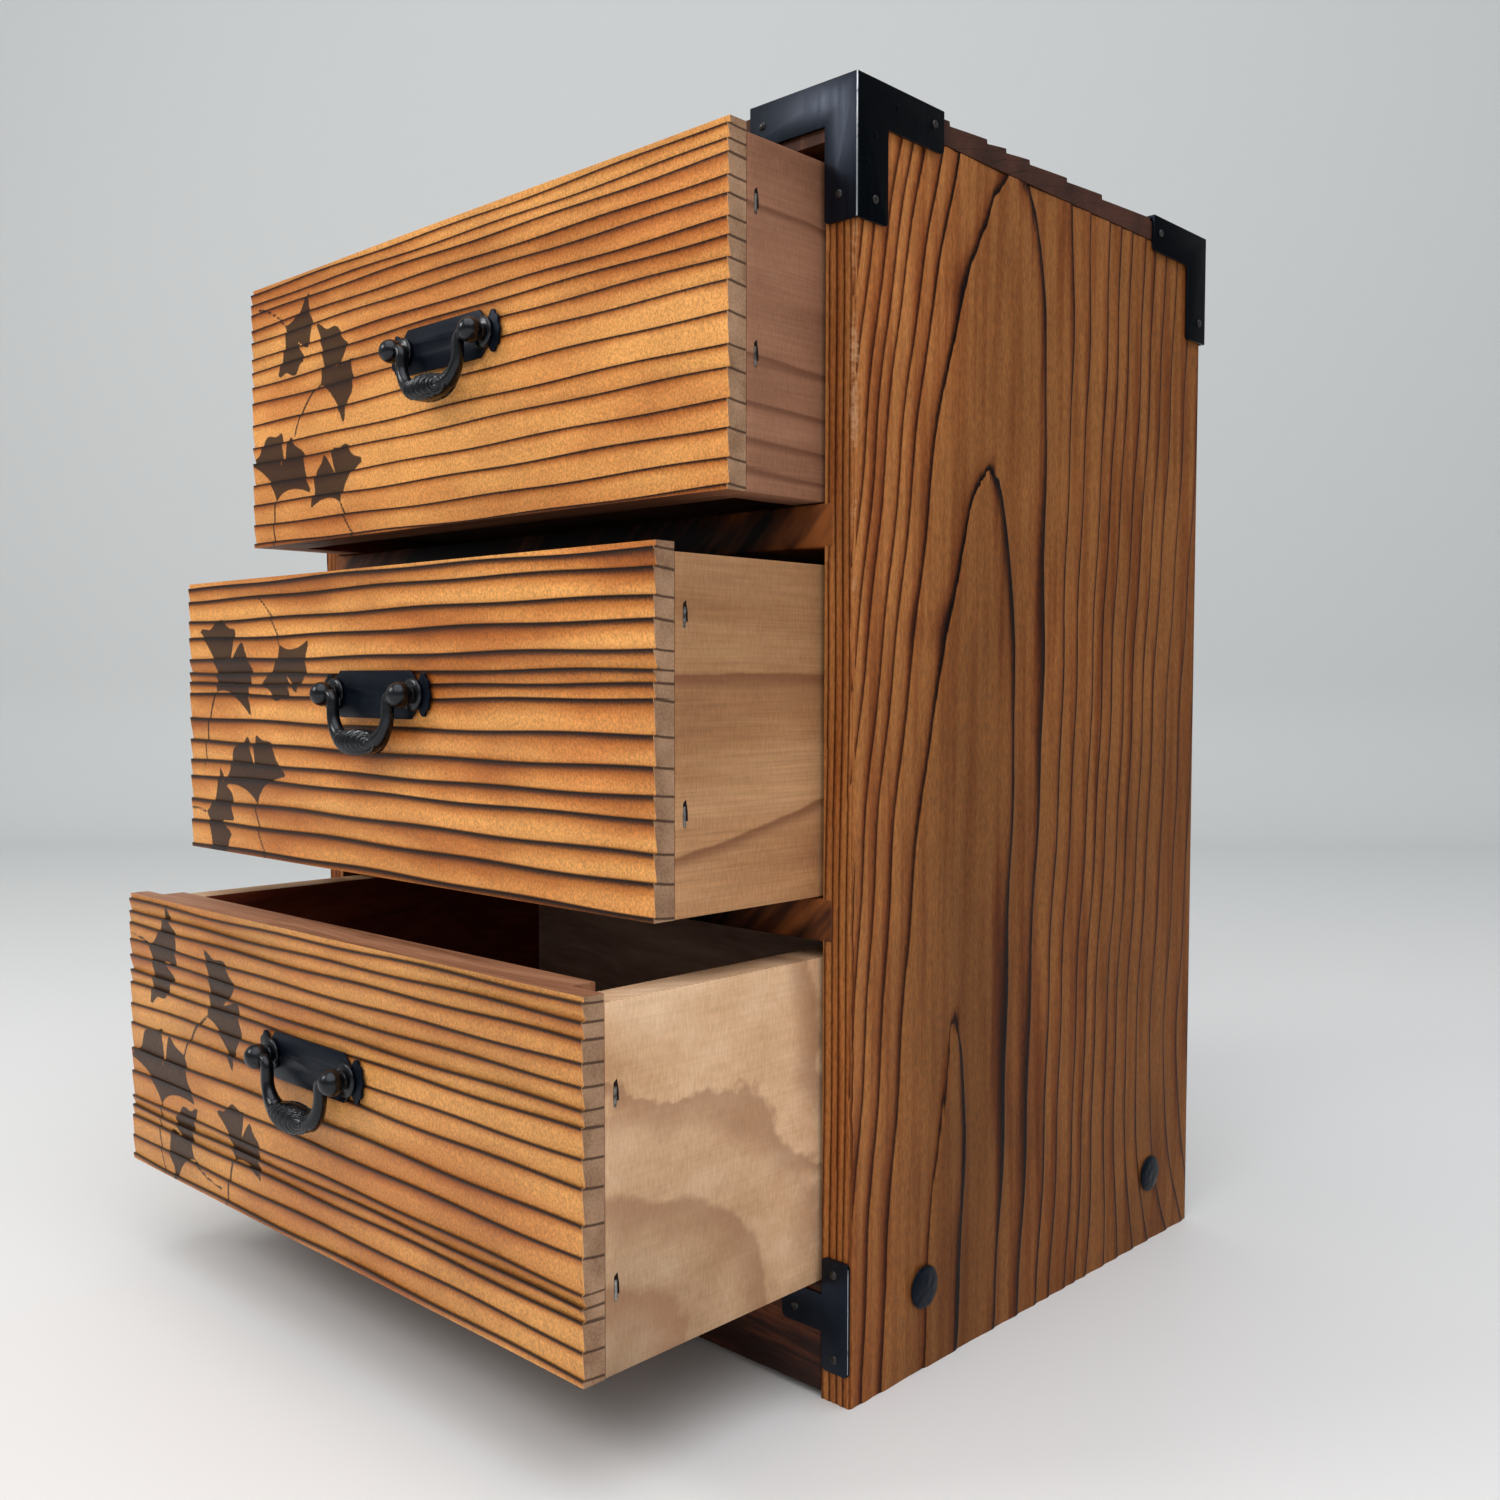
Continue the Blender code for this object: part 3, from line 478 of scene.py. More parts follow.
def arch_rings(along, rise):
    """Ring count on a face, from millimetres along it from the front edge and up from the floor."""
    higher = rise - SHALLOWEST_MM
    depth = HEART_DEPTH_MM + 0.02743 * higher + 0.000168 * higher ** 2
    sway = 0.7 * np.sin(rise / 23 + along / 40) + 0.45 * np.sin(rise / 9.5 + along / 19 + 1.3)
    flare = FLARE * np.maximum(0, FLARE_BELOW_MM - rise) ** 2 * rising(along, FLARE_BEHIND_MM, 70)
    away = along - heart_line(rise) + sway - flare
    away = np.where(away < 0, away - 0.5 * np.maximum(0, -away - 30), away)
    return np.interp(np.hypot(away, depth), RING_RADII_MM, np.arange(len(RING_RADII_MM)))


# The opposite board is the plank's other half, so its arches sit a little higher up the trunk
HALVES = {"side_right": 0.0, "side_left": 55.0}

sample = arch_rings(np.linspace(0, 209, 400), np.full(400, 200.0))
print("ring lines across the side at mid height:", int(sample.max()) - int(sample.min()))

# %% [markdown]
# The torch did not burn the board evenly. The arches at the heart are dark and wide behind it, partly
# charred deep and partly painted shade of the ring steps there, and before it dark only in spots. Lines
# fade towards the back and by the corner, the heartwood is dull, and the front corner is rubbed pale
# where hands and other things touch it. Each of these is a smooth formula of the place on the board, and
# the finish reads the results as attributes.

# %% How the side boards are burnt
CORNER_MM = 1.3
BURNT_SPOTS_MM = (228, 334)


def side_shades(along, inward, rise, lift, ring, deep):
    rubbed = np.clip((rise - 200) / 70, 0.12, 1) * (0.72 + 0.2 * np.sin(rise / 9) + 0.15 * np.sin(rise / 3.7))
    wear = 1.25 * np.exp(-((along + inward) / 3.0) ** 2) * rubbed
    edge = along < CORNER_MM
    before_heart = (heart_line(rise + lift) - along) / 3
    behind = np.clip(0.5 - before_heart / 2, 0, 1)
    inmost = np.exp(-((ring - 4) / 1.6) ** 4)
    lowest = np.clip(4 - ring, 0, 1)
    deepest = np.maximum(0.75 + 0.45 * np.sin((rise + lift) / 25 + ring), 1.05 * lowest)
    spots = sum(np.exp(-((rise + lift - at) / 7) ** 2) for at in BURNT_SPOTS_MM)
    burnt_before = (0.5 + 1.7 * spots) * (1 - lowest) - 0.35 * lowest
    bold = np.where(edge, 0.7, 0.95 + inmost * (behind * 3.0 * deepest + (1 - behind) * burnt_before))
    fade = np.clip(1.05 - 0.42 * (along / deep) ** 2 * np.clip((rise - 10) / 110, 0.15, 1), 0, 1)
    fade *= 0.48 + 0.52 * rising(along, 22, 25)
    fade *= 1 - 0.4 * lowest * inmost * (1 - behind)
    fade *= rising(along + inward, 1.2, 1.5)
    darker = (0.3 * rising(along, 10, 45) + 0.22 * np.exp(-(ring / 4.4) ** 4)
              + 0.09 * rising(along, 110, 50) + 0.1 * rising(rise, 230, -80)
              - 0.2 * rising(rise, 230, 80) * rising(along, 75, -30))
    return {"wear": wear, "inner": 20 * np.clip(before_heart - 0.5, 0, 1),
            "outer": 20 * np.clip(-before_heart - 0.5, 0, 1), "bold": bold, "fade": fade,
            "deep": np.where(edge, 0.88, 1 - darker)}


print("spots burnt before the heart:", len(BURNT_SPOTS_MM))

# %% [markdown]
# The board is a tube of level sections. Each runs along the narrow front edge, round the rubbed corner,
# back along the face and through the rebate for the back. Where the wood is worn, the points move in.

# %% Side boards
SIDE_WEAR_MM = 0.7
STRIP_PITCH_MM = 2.6
STRIP_POINTS, SIDE_ROWS, SIDE_GRID_MM = 10, 249, 1.25
CORNER_TURNS = np.radians([15, 35, 55, 75])
FACE_FIRST = STRIP_POINTS + len(CORNER_TURNS)
REBATE_MM, BACK_ARRIS_MM = 6.3, 0.6


def side_section(deep, thick, outer):
    """Level section of a side board: millimetres back from the front edge and in from the face."""
    path = [(0.0, d) for d in np.linspace(thick, CORNER_MM, STRIP_POINTS)]
    path += [(CORNER_MM * (1 - math.sin(t)), CORNER_MM * (1 - math.cos(t))) for t in CORNER_TURNS]
    path += [(s, 0.0) for s in outer]
    path += [(deep, BACK_ARRIS_MM), (deep, thick / 2)]
    path += [(deep - REBATE_MM, thick / 2), (deep - REBATE_MM, thick)]
    return np.array(path)


def side_board(name, hand):
    low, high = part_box(name)
    lift = HALVES[name]
    deep, thick = (high.y - low.y) / MM, (high.x - low.x) / MM
    rows = np.linspace(0, (high.z - low.z) / MM, SIDE_ROWS)
    outer = np.arange(CORNER_MM, deep - BACK_ARRIS_MM, SIDE_GRID_MM)
    path = side_section(deep, thick, outer)
    along, rise = np.meshgrid(path[:, 0], rows)
    inward = np.meshgrid(path[:, 1], rows)[0]
    strip, corner = slice(1, STRIP_POINTS), slice(STRIP_POINTS, FACE_FIRST)
    face = slice(FACE_FIRST, FACE_FIRST + len(outer))
    ring = arch_rings(along, rise + lift)
    # The narrow front edge has its own upright lines; they meet the others inside the rubbed corner
    level = 10 + 0.22 * np.sin(rise / 70 + 1) + 0.08 * np.sin(rise / 19) - inward / STRIP_PITCH_MM
    ring[:, :FACE_FIRST - 2] = level[:, :FACE_FIRST - 2]
    grid = arch_rings(along[:, face], rise[:, face] + lift)
    slope = np.hypot(*np.gradient(grid, rows, outer))
    width = np.full(along.shape, STRIP_PITCH_MM)
    width[:, face] = 1 / np.maximum(slope, 0.004)
    # Worn height: late wood stays proud, averaged over two millimetres
    worn = np.zeros_like(grid)
    offsets = np.linspace(-1, 1, 5)
    for da in offsets:
        for dr in offsets:
            worn += 1 - np.mod(arch_rings(along[:, face] + da, rise[:, face] + lift + dr), 1)
    inward[:, face] += SIDE_WEAR_MM * worn / len(offsets) ** 2
    ragged = 0.16 * np.sin(rise / 4.3) + 0.12 * np.sin(rise / 1.7 + 1)
    inward[:, corner] += 0.3 + ragged[:, corner]
    along[:, strip] += SIDE_WEAR_MM * (1 - np.mod(ring[:, strip], 1)) * 0.6
    wall = high.x if hand > 0 else low.x
    points = np.stack([wall - hand * inward * MM, low.y + along * MM, low.z + rise * MM], -1)
    count, loop = along.shape
    looks = [int(c >= face.stop) for _ in range(count - 1) for c in range(loop)] + [1, 1]
    values = {"ring": ring, "width": width, **side_shades(along, inward, rise, lift, ring, deep)}
    board = piece_from_arrays(name + "_board", points.reshape(-1, 3), tube_faces(count, loop),
                              [cedar_side, case_inside], looks, values)
    return hand_over(board, "case", "burnt_cedar_case", name)


for name, hand in (("side_right", 1), ("side_left", -1)):
    board = side_board(name, hand)
    print(board.name, len(board.data.polygons), "faces")

# %% [markdown]
# ## Boards with ridges running across
# The drawer fronts and the top are cut so that their rings run straight across. Here the rows of the
# grid are laid along the ring lines themselves. That gives a true sharp ledge at each line and a slow
# slope between lines, with few faces. Behind the ridged face the board has a thin lip at each end and a
# thicker middle, as the CAD solid has, so one builder serves the fronts and the top.

# %% Rows of a ridged board
CUT_RING_MM = 7.0  # width taken for the rings that the board's edges cut off
ROW_MM, AFTER_LINE_MM, BEFORE_LINE_MM = 1.1, 0.22, 0.35


def ridged_rows(columns, lines, size, relief):
    """Grid of the ridged face: place across it, ring count, ring width and depth."""
    base = lines(np.zeros(1))[:, 0]
    edges = np.concatenate([[0.0], base, [size]])
    plan = []
    for k in range(len(edges) - 1):
        span = edges[k + 1] - edges[k]
        inside = list(np.linspace(0, 1, max(4, int(span / ROW_MM)) + 1)[1:-1])
        shares = [0.0, min(0.25, AFTER_LINE_MM / span)] + inside + [max(0.8, 1 - BEFORE_LINE_MM / span)]
        plan += [(k, t) for t in sorted(shares)]
    plan.append((len(edges) - 1, 0.0))
    placed = np.concatenate([np.zeros((1, len(columns))), lines(columns), np.full((1, len(columns)), size)])
    across, ring, width, depth = (np.zeros((len(plan), len(columns))) for _ in range(4))
    for i, (k, t) in enumerate(plan):
        low = placed[k]
        high = placed[min(k + 1, len(placed) - 1)]
        across[i] = low + t * (high - low)
        first, final = k == 0, k >= len(edges) - 2
        span = np.where(first | final, CUT_RING_MM, np.maximum(high - low, 0.5))
        if first:
            share = 1 - (high - across[i]) / span
        elif final:
            share = (across[i] - placed[len(edges) - 2]) / span
        else:
            share = np.full(len(columns), t)
        number = min(k, len(edges) - 2)
        ring[i] = number + share
        width[i] = span
        at_line = t == 0.0 and 0 < k < len(edges) - 1
        depth[i] = 0 if at_line else relief(number, columns, span) * np.clip(1 - share, 0, 1) ** 1.1
    return across, ring, width, depth


print("rows about", ROW_MM, "mm apart on wide rings")

# %% [markdown]
# The face alone would be a thin skin, so the builder goes on behind it: a line of points along the back
# of each long edge, a row half way through each end so that the ring threads can curl there, and the
# thicker middle. Every point carries its ring count on, so the end grain joins the face's lines.

# %% Builder of a ridged board
FACE, END, BACK = 0, 1, 2


def ridged_board(name, columns, lines, size, lip, thick, inner, relief, curl, to_space, finishes, extra=None):
    """lines(x) gives the ring lines' places across the face, from 0 to size, in millimetres.

    The board's face lies at depth 0 and its back at depth thick; to_space turns (x, across, depth) into
    metres. curl is how many rings one passes from the face through to the lip's back, and
    extra(x, across) may return further attributes of the face.
    """
    across, ring, width, depth = ridged_rows(columns, lines, size, relief)
    rows, cols = across.shape
    spread = np.broadcast_to(columns, across.shape)
    points = [np.stack(to_space(spread, across, depth), -1).reshape(-1, 3)]
    rings, widths = [ring.ravel()], [width.ravel()]
    total = rows * cols

    def add(xs, places, deep, counts, spans):
        """Add one line of points behind the face and return their numbers."""
        nonlocal total
        xs, places = np.broadcast_arrays(np.asarray(xs, float), np.asarray(places, float))
        points.append(np.stack(to_space(xs, places, np.full(xs.shape, deep)), -1).reshape(-1, 3))
        rings.append(np.broadcast_to(counts, xs.shape).ravel())
        widths.append(np.broadcast_to(spans, xs.shape).ravel())
        numbers = np.arange(total, total + xs.size)
        total += xs.size
        return numbers

    grid = np.arange(rows * cols).reshape(rows, cols)
    j_low = int(np.argmin(np.abs(columns + inner)))
    j_high = int(np.argmin(np.abs(columns - inner)))
    middle = slice(j_low, j_high + 1)
    low_lip = add(columns, 0.0, lip, ring[0] + curl, width[0])
    high_lip = add(columns, size, lip, ring[-1] + curl, width[-1])
    low_back = add(columns[middle], 0.0, thick, ring[0, middle] + 2 * curl, CUT_RING_MM)
    high_back = add(columns[middle], size, thick, ring[-1, middle] + 2 * curl, CUT_RING_MM)
    faces, looks = [], []

    def quads(first_line, second_line, look):
        for a, b, c, d in zip(first_line, first_line[1:], second_line[1:], second_line):
            faces.append((int(a), int(b), int(c), int(d)))
            looks.append(look)

    for i in range(rows - 1):
        quads(grid[i], grid[i + 1], FACE)
    quads(grid[-1], high_lip, BACK)
    quads(low_lip, grid[0], BACK)
    for end, j in ((0, j_low), (cols - 1, j_high)):
        x, half, half_curl = columns[end], lip * 0.5, 0.6 * curl
        halfway = add(x, across[1:-1, end], half, ring[1:-1, end] + half_curl, width[1:-1, end])
        behind = add(x, across[1:-1, end], lip, ring[1:-1, end] + curl, width[1:-1, end])
        half_low = add(x, 0.0, half, ring[0, end] + half_curl, CUT_RING_MM)
        half_high = add(x, size, half, ring[-1, end] + half_curl, CUT_RING_MM)
        halfway = np.concatenate([half_low, halfway, half_high])
        behind = np.concatenate([[low_lip[end]], behind, [high_lip[end]]])
        quads(grid[:, end], halfway, END)
        quads(halfway, behind, END)
        run = range(0, j_low + 1) if end == 0 else range(cols - 1, j_high - 1, -1)
        rim = list(behind) + [high_lip[c] for c in run][1:] + [low_lip[c] for c in reversed(run)][:-1]
        faces.append(tuple(int(v) for v in rim))
        edge = 0 if end == 0 else -1
        faces.append((int(low_lip[j]), int(high_lip[j]), int(high_back[edge]), int(low_back[edge])))
        looks += [BACK, BACK]
        # Close the small corners where the half-way line meets the long edges
        for face_line, lip_line, between in ((grid[0], low_lip, half_low), (grid[-1], high_lip, half_high)):
            start, stop = int(face_line[end]), int(lip_line[end])
            for number, face in enumerate(faces):
                if looks[number] == BACK and start in face and stop in face and len(face) == 4:
                    turned = list(face)
                    at = turned.index(start)
                    if turned[(at + 1) % 4] == stop:
                        turned.insert(at + 1, int(between[0]))
                    elif turned[at - 1] == stop:
                        turned.insert(at, int(between[0]))
                    faces[number] = tuple(turned)
    quads(high_lip[middle], high_back, BACK)
    quads(low_back, low_lip[middle], BACK)
    quads(high_back, low_back, BACK)
    values = {"ring": np.concatenate(rings), "width": np.concatenate(widths)}
    for value, numbers in (extra(spread, across) if extra else {}).items():
        values[value] = np.concatenate([numbers.ravel(), np.full(total - rows * cols, numbers.flat[-1])])
    return piece_from_arrays(name, np.concatenate(points), faces, finishes, looks, values)


print("ridged board builder ready")

# %% [markdown]
# ## The top board
# Seen along its end, the top climbs slowly to each late-wood crest and drops off steeply behind it. The
# crests' places are shares of the depth. The lines sway a little from end to end as wood does.

# %% Top board
TOP_CREST_SHARES = (0.092, 0.211, 0.306, 0.357, 0.422, 0.531, 0.641, 0.804)
TOP_LIP_MM, TOP_THICK_MM, TOP_INNER_MM, TOP_CURL = 7.5, 15.0, 130.2, 1.9
TOP_RELIEF_MM, WIDEST_RING_MM, TOP_COLUMNS = 1.9, 41, 115
low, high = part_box("top_board")
top_depth = (high.y - low.y) / MM
half_width = high.x / MM
top_columns = np.unique(np.concatenate([np.linspace(-half_width, half_width, TOP_COLUMNS),
                                        [-TOP_INNER_MM, TOP_INNER_MM]]))


def top_lines(x):
    places = np.array(TOP_CREST_SHARES)[:, None] * top_depth
    order = np.arange(len(TOP_CREST_SHARES))[:, None]
    ends = 1 - (x / half_width) ** 8
    sway = 1.1 * np.sin(x / 47 + 0.5 * order) + 0.5 * np.sin(x / 15 + 1.3 * order)
    return places + sway * ends


def top_relief(number, x, span):
    share = 0.5 + 0.5 * np.minimum(span / WIDEST_RING_MM, 1)
    return TOP_RELIEF_MM * share * (1 + 0.12 * np.sin(x / 31 + number))


def top_space(x, across, depth):
    return x * MM, low.y + across * MM, high.z - depth * MM


top = ridged_board("top_board_worn", top_columns, top_lines, top_depth, TOP_LIP_MM, TOP_THICK_MM,
                   TOP_INNER_MM, top_relief, TOP_CURL, top_space, [cedar_top, top_ends, case_inside])
hand_over(top, "case", "burnt_cedar_dark", "top_board")
print(top.name, len(top.data.polygons), "faces")

# %% [markdown]
# ## Drawer fronts
# On the left of each front dark leaves are painted, plain ginkgo fans that drift down. Each leaf is a
# small distance formula, and the nearest leaf's distance is stored on the points, so the material can cut
# a crisp edge anywhere between them. A leaf in the list is its root, across and up, the angle it points
# to and its size.

# %% Falling leaves
FAR_FROM_LEAF_MM = 9.0
STALK_MM = 0.55
RUBBED_END_MM = 0.6  # how far in from its ends a front is rubbed pale


def fan_leaf(x, z, root, aim, size):
    """Distance to a fan-shaped leaf on its stalk, in millimetres, negative inside."""
    turn = math.radians(aim)
    u = (x - root[0]) * math.cos(turn) + (z - root[1]) * math.sin(turn)
    v = -(x - root[0]) * math.sin(turn) + (z - root[1]) * math.cos(turn)
    reach, angle = np.hypot(u, v), np.arctan2(v, u)
    rim = size * (0.94 + 0.04 * np.cos(11 * angle) + 0.05 * np.cos(3 * angle))
    rim = rim * (1 - 0.5 * np.exp(-(angle / 0.07) ** 2))
    spread = 1.22 * np.clip(reach / size, 0.02, 1) ** 0.38
    blade = np.maximum(reach - rim, (np.abs(angle) - spread) * reach)
    bent = v + 0.014 * u ** 2
    past = u - np.clip(u, -0.95 * size, 0)
    return np.minimum(blade, np.hypot(past, bent) - STALK_MM)


LEAVES = {
    "upper": ((-112, 16, 72, 27), (-80, 56, 24, 24), (-104, 82, -40, 21), (-66, 12, 112, 22)),
    "middle": ((-108, 58, 50, 28), (-80, 18, 96, 26), (-118, 14, -12, 22), (-62, 76, -66, 21)),
    "lower": ((-106, 24, 80, 29), (-70, 62, 26, 25), (-114, 82, -20, 23), (-80, 10, 150, 20),
              (-52, 16, 60, 20)),
}
# The middle front is burnt deepest, and the lower one is painted darker as painted shade, since less light
# reaches it
BURNT = {"upper": 0.85, "middle": 1.7, "lower": 0.82}
FRONT_TONE_AND_SHADE = {"upper": 0.97, "middle": 0.97, "lower": 0.77}


def leaves_on(drawer):
    def nearest(x, across):
        found = np.full(x.shape, FAR_FROM_LEAF_MM)
        for left_x, low_z, aim, size in LEAVES[drawer]:
            found = np.minimum(found, fan_leaf(x, across, (left_x, low_z), aim, size))
        rubbed = 1.1 * np.clip((np.abs(x) - np.abs(x).max()) / RUBBED_END_MM + 1, 0, 1)
        return {"burn": found, "wear": rubbed, "bold": np.full(x.shape, BURNT[drawer]),
                "deep": np.full(x.shape, FRONT_TONE_AND_SHADE[drawer])}

    return nearest


print("leaves per front:", {d: len(LEAVES[d]) for d in DRAWERS})

# %% [markdown]
# About fifteen ring lines run across each front, four to nine millimetres apart. The list gives their
# heights above the front's lower edge, and each line sways a little. The columns are close together
# where the leaves are and far apart elsewhere, which saves faces.

# %% Drawer fronts
FRONT_LINES_MM = {
    "upper": (1.0, 8.2, 16.3, 23.8, 32.2, 38.8, 47.5, 55.8, 62.2, 68.0, 72.7, 79.0, 83.8, 89.3, 92.8, 96.9),
    "middle": (1.8, 10.5, 18.3, 27.1, 32.9, 40.2, 48.6, 57.8, 61.8, 65.7, 71.0, 78.8, 85.2, 92.9, 97.6),
    "lower": (2.0, 9.4, 16.8, 20.6, 24.4, 33.5, 41.6, 51.3, 58.4, 65.8, 70.4, 76.2, 81.8, 87.9, 92.6, 97.2),
}
FRONT_LIP_MM, FRONT_THICK_MM, FRONT_INNER_MM, FRONT_CURL = 7.3, 15.0, 116.4, 0.1
LEAVES_END_MM, FINE_MM, COARSE_MM = -36, 0.75, 2.0


def drawer_front(drawer):
    name = f"drawer_{drawer}_front"
    low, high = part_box(name)
    tall, half = (high.z - low.z) / MM, high.x / MM
    seed = DRAWERS.index(drawer) * 2.1
    columns = np.unique(np.concatenate([np.arange(-half, LEAVES_END_MM, FINE_MM),
                                        np.arange(LEAVES_END_MM, half - 2, COARSE_MM),
                                        [-FRONT_INNER_MM, FRONT_INNER_MM, half - RUBBED_END_MM, half]]))

    def lines(x):
        base = np.array(FRONT_LINES_MM[drawer])[:, None]
        order = np.arange(len(base))[:, None]
        return base + 0.42 * np.sin(x / 44 + 0.4 * order + seed) + 0.22 * np.sin(x / 13 + 1.9 * order + seed)

    def relief(number, x, span):
        return (0.92 + 0.25 * np.cos(1.7 * number + seed)) * (1 + 0.25 * np.sin(x / 33 + number * 1.1))

    def space(x, across, depth):
        return x * MM, low.y + depth * MM, low.z + across * MM

    front = ridged_board(name + "_worn", columns, lines, tall, FRONT_LIP_MM, FRONT_THICK_MM, FRONT_INNER_MM,
                         relief, FRONT_CURL, space, [cedar_front, front_ends, front_back], leaves_on(drawer))
    return hand_over(front, f"drawer_{drawer}", "burnt_cedar_front", name)


for drawer in DRAWERS:
    front = drawer_front(drawer)
    print(front.name, len(front.data.polygons), "faces")

# %% [markdown]
# ## Plain boards
# The drawer boxes, rails, runners, kick board, bottom and back are straight boards. The three drawer
# boxes were made from different woods, and each shows it: the upper side is a pinkish, even cedar with a
# few level lines, the middle one has one line that climbs and the lower one is a pale, swirling, roughly
# sawn board. A bare board from the saw is dull. Its growth lines are dark on one side and fade out on
# the other, and single fibres and saw marks break up the colour.

# %% Finish of the sawn boards
def sawn_wood(name, stops, line, reach, crisp, streaks, ragged, tone, fibres, hatch=False):
    """Bare sawn board: soft growth lines from its "ring" attribute over streaks and saw marks.

    line is the growth lines' colour and strength, reach and crisp how far in millimetres they fade out on
    their gradual and their abrupt side, ragged how much of a ring they stray, tone how bright the wood is
    at the board's first ring and at its third, and fibres how much lighter or darker single fibres are.
    """
    material, tree, shader, place = new_finish(name)
    ring = node(tree, "ShaderNodeAttribute", out="Fac", attribute_name="ring")
    width = node(tree, "ShaderNodeAttribute", out="Fac", attribute_name="width")
    drawn = node(tree, "ShaderNodeMapping", {"Vector": place, "Scale": streaks})
    band = node(tree, "ShaderNodeTexNoise", {"Vector": drawn, "Scale": 1.0, "Detail": 5.0,
                                             "Roughness": 0.6})
    saw = node(tree, "ShaderNodeMapping", {"Vector": place, "Scale": (900, 1700, 330),
                                           "Rotation": (math.radians(24), 0, 0)})
    mark = node(tree, "ShaderNodeTexNoise", {"Vector": saw, "Scale": 1.0, "Detail": 3.0})
    both = node(tree, "ShaderNodeMath", {0: mark, 1: 0.35, 2: band}, operation="MULTIPLY_ADD")
    spread = node(tree, "ShaderNodeMapRange", {"Value": both, "From Min": 0.45, "From Max": 0.9})
    colour = node(tree, "ShaderNodeValToRGB", {"Fac": spread}, stops=stops)
    shade = node(tree, "ShaderNodeMapRange", {"Value": ring, "From Min": 0.0, "From Max": 3.0,
                                              "To Min": tone[0], "To Max": tone[1]})
    # Fibres along the board, drawn 0.8 mm wide and 3 cm long
    grain = node(tree, "ShaderNodeMapping", {"Vector": place, "Scale": (900, 35, 1250)})
    fibre = node(tree, "ShaderNodeTexNoise", {"Vector": grain, "Scale": 1.0, "Detail": 3.0})
    fibre = node(tree, "ShaderNodeMapRange", {"Value": fibre, **NOISE,
                                              "To Min": 1 - fibres, "To Max": 1 + fibres})
    shade = node(tree, "ShaderNodeMath", {0: shade, 1: fibre}, operation="MULTIPLY")
    colour = node(tree, "ShaderNodeVectorMath", {0: colour, "Scale": shade}, operation="SCALE")
    swirl = node(tree, "ShaderNodeTexNoise", {"Vector": place, "Scale": 55.0, "Detail": 5.0,
                                              "Roughness": 0.55})
    stray = node(tree, "ShaderNodeMapRange", {"Value": swirl, "To Min": -ragged, "To Max": ragged})
    before, after, _ = line_distances(tree, ring, width, stray)
    gradual = node(tree, "ShaderNodeMapRange", {"Value": before, "From Min": 0.0, "From Max": reach,
                                                "To Min": 0.9, "To Max": 0.0},
                   interpolation_type="SMOOTHSTEP")
    abrupt = node(tree, "ShaderNodeMapRange", {"Value": after, "From Min": 0.2, "From Max": crisp,
                                               "To Min": 0.9, "To Max": 0.0})
    growth = node(tree, "ShaderNodeMath", {0: gradual, 1: abrupt}, operation="MAXIMUM")
    growth = node(tree, "ShaderNodeMath", {0: growth, 1: line[1]}, operation="MULTIPLY")
    colour = node(tree, "ShaderNodeMix", {0: growth, 6: colour, 7: linear(line[0])},
                  data_type="RGBA", out=2)
    height = node(tree, "ShaderNodeMath", {0: mark, 1: 0.06 * MM}, operation="MULTIPLY")
    if hatch:
        # The upper edge was left from a coarse saw: slanting ridges, drawn 1.6 mm apart
        facing = node(tree, "ShaderNodeNewGeometry", out="Normal")
        upward = node(tree, "ShaderNodeSeparateXYZ", {0: facing}, out=2)
        on_edge = node(tree, "ShaderNodeMapRange", {"Value": upward, "From Min": 0.6, "From Max": 0.8})
        slant = node(tree, "ShaderNodeMapping", {"Vector": place, "Rotation": (0, 0, math.radians(50))})
        teeth = node(tree, "ShaderNodeTexWave", {"Vector": slant, "Scale": 196.0, "Distortion": 1.5,
                                                 "Detail": 2.0}, out="Fac")
        groove = node(tree, "ShaderNodeMath", {0: teeth, 1: on_edge}, operation="MULTIPLY")
        dim = node(tree, "ShaderNodeMapRange", {"Value": groove, "To Min": 1.0, "To Max": 0.55})
        colour = node(tree, "ShaderNodeVectorMath", {0: colour, "Scale": dim}, operation="SCALE")
        height = node(tree, "ShaderNodeMath", {0: groove, 1: -0.25 * MM, 2: height},
                      operation="MULTIPLY_ADD")
    bump = node(tree, "ShaderNodeBump", {"Height": height, "Distance": 1.0})
    feed(tree, shader, {"Base Color": colour, "Roughness": 0.75, "Specular IOR Level": 0.3, "Normal": bump})
    return material


side_upper = sawn_wood("cedar_sawn_pinkish", [(0.0, "#7f543d"), (0.5, "#94674d"), (1.0, "#a2755b")],
                       ("#5f3623", 0.75), 2.5, 0.9, (60, 8, 60), 0.03, (1.0, 1.0), 0.1)
side_middle = sawn_wood("cedar_sawn_streaked", [(0.0, "#8f6040"), (0.5, "#a8784f"), (1.0, "#bd8f65")],
                        ("#74432a", 0.8), 4.5, 0.9, (40, 6, 40), 0.015, (1.22, 0.72), 0.12)
side_lower = sawn_wood("lauan_sawn_pale", [(0.0, "#bb8f67"), (0.5, "#d6ac85"), (1.0, "#eac6a2")],
                       ("#94674a", 0.62), 15.0, 2.4, (45, 22, 35), 0.3, (0.48, 1.06), 0.05, hatch=True)
print("drawer sides:", side_upper.name, side_middle.name, side_lower.name)
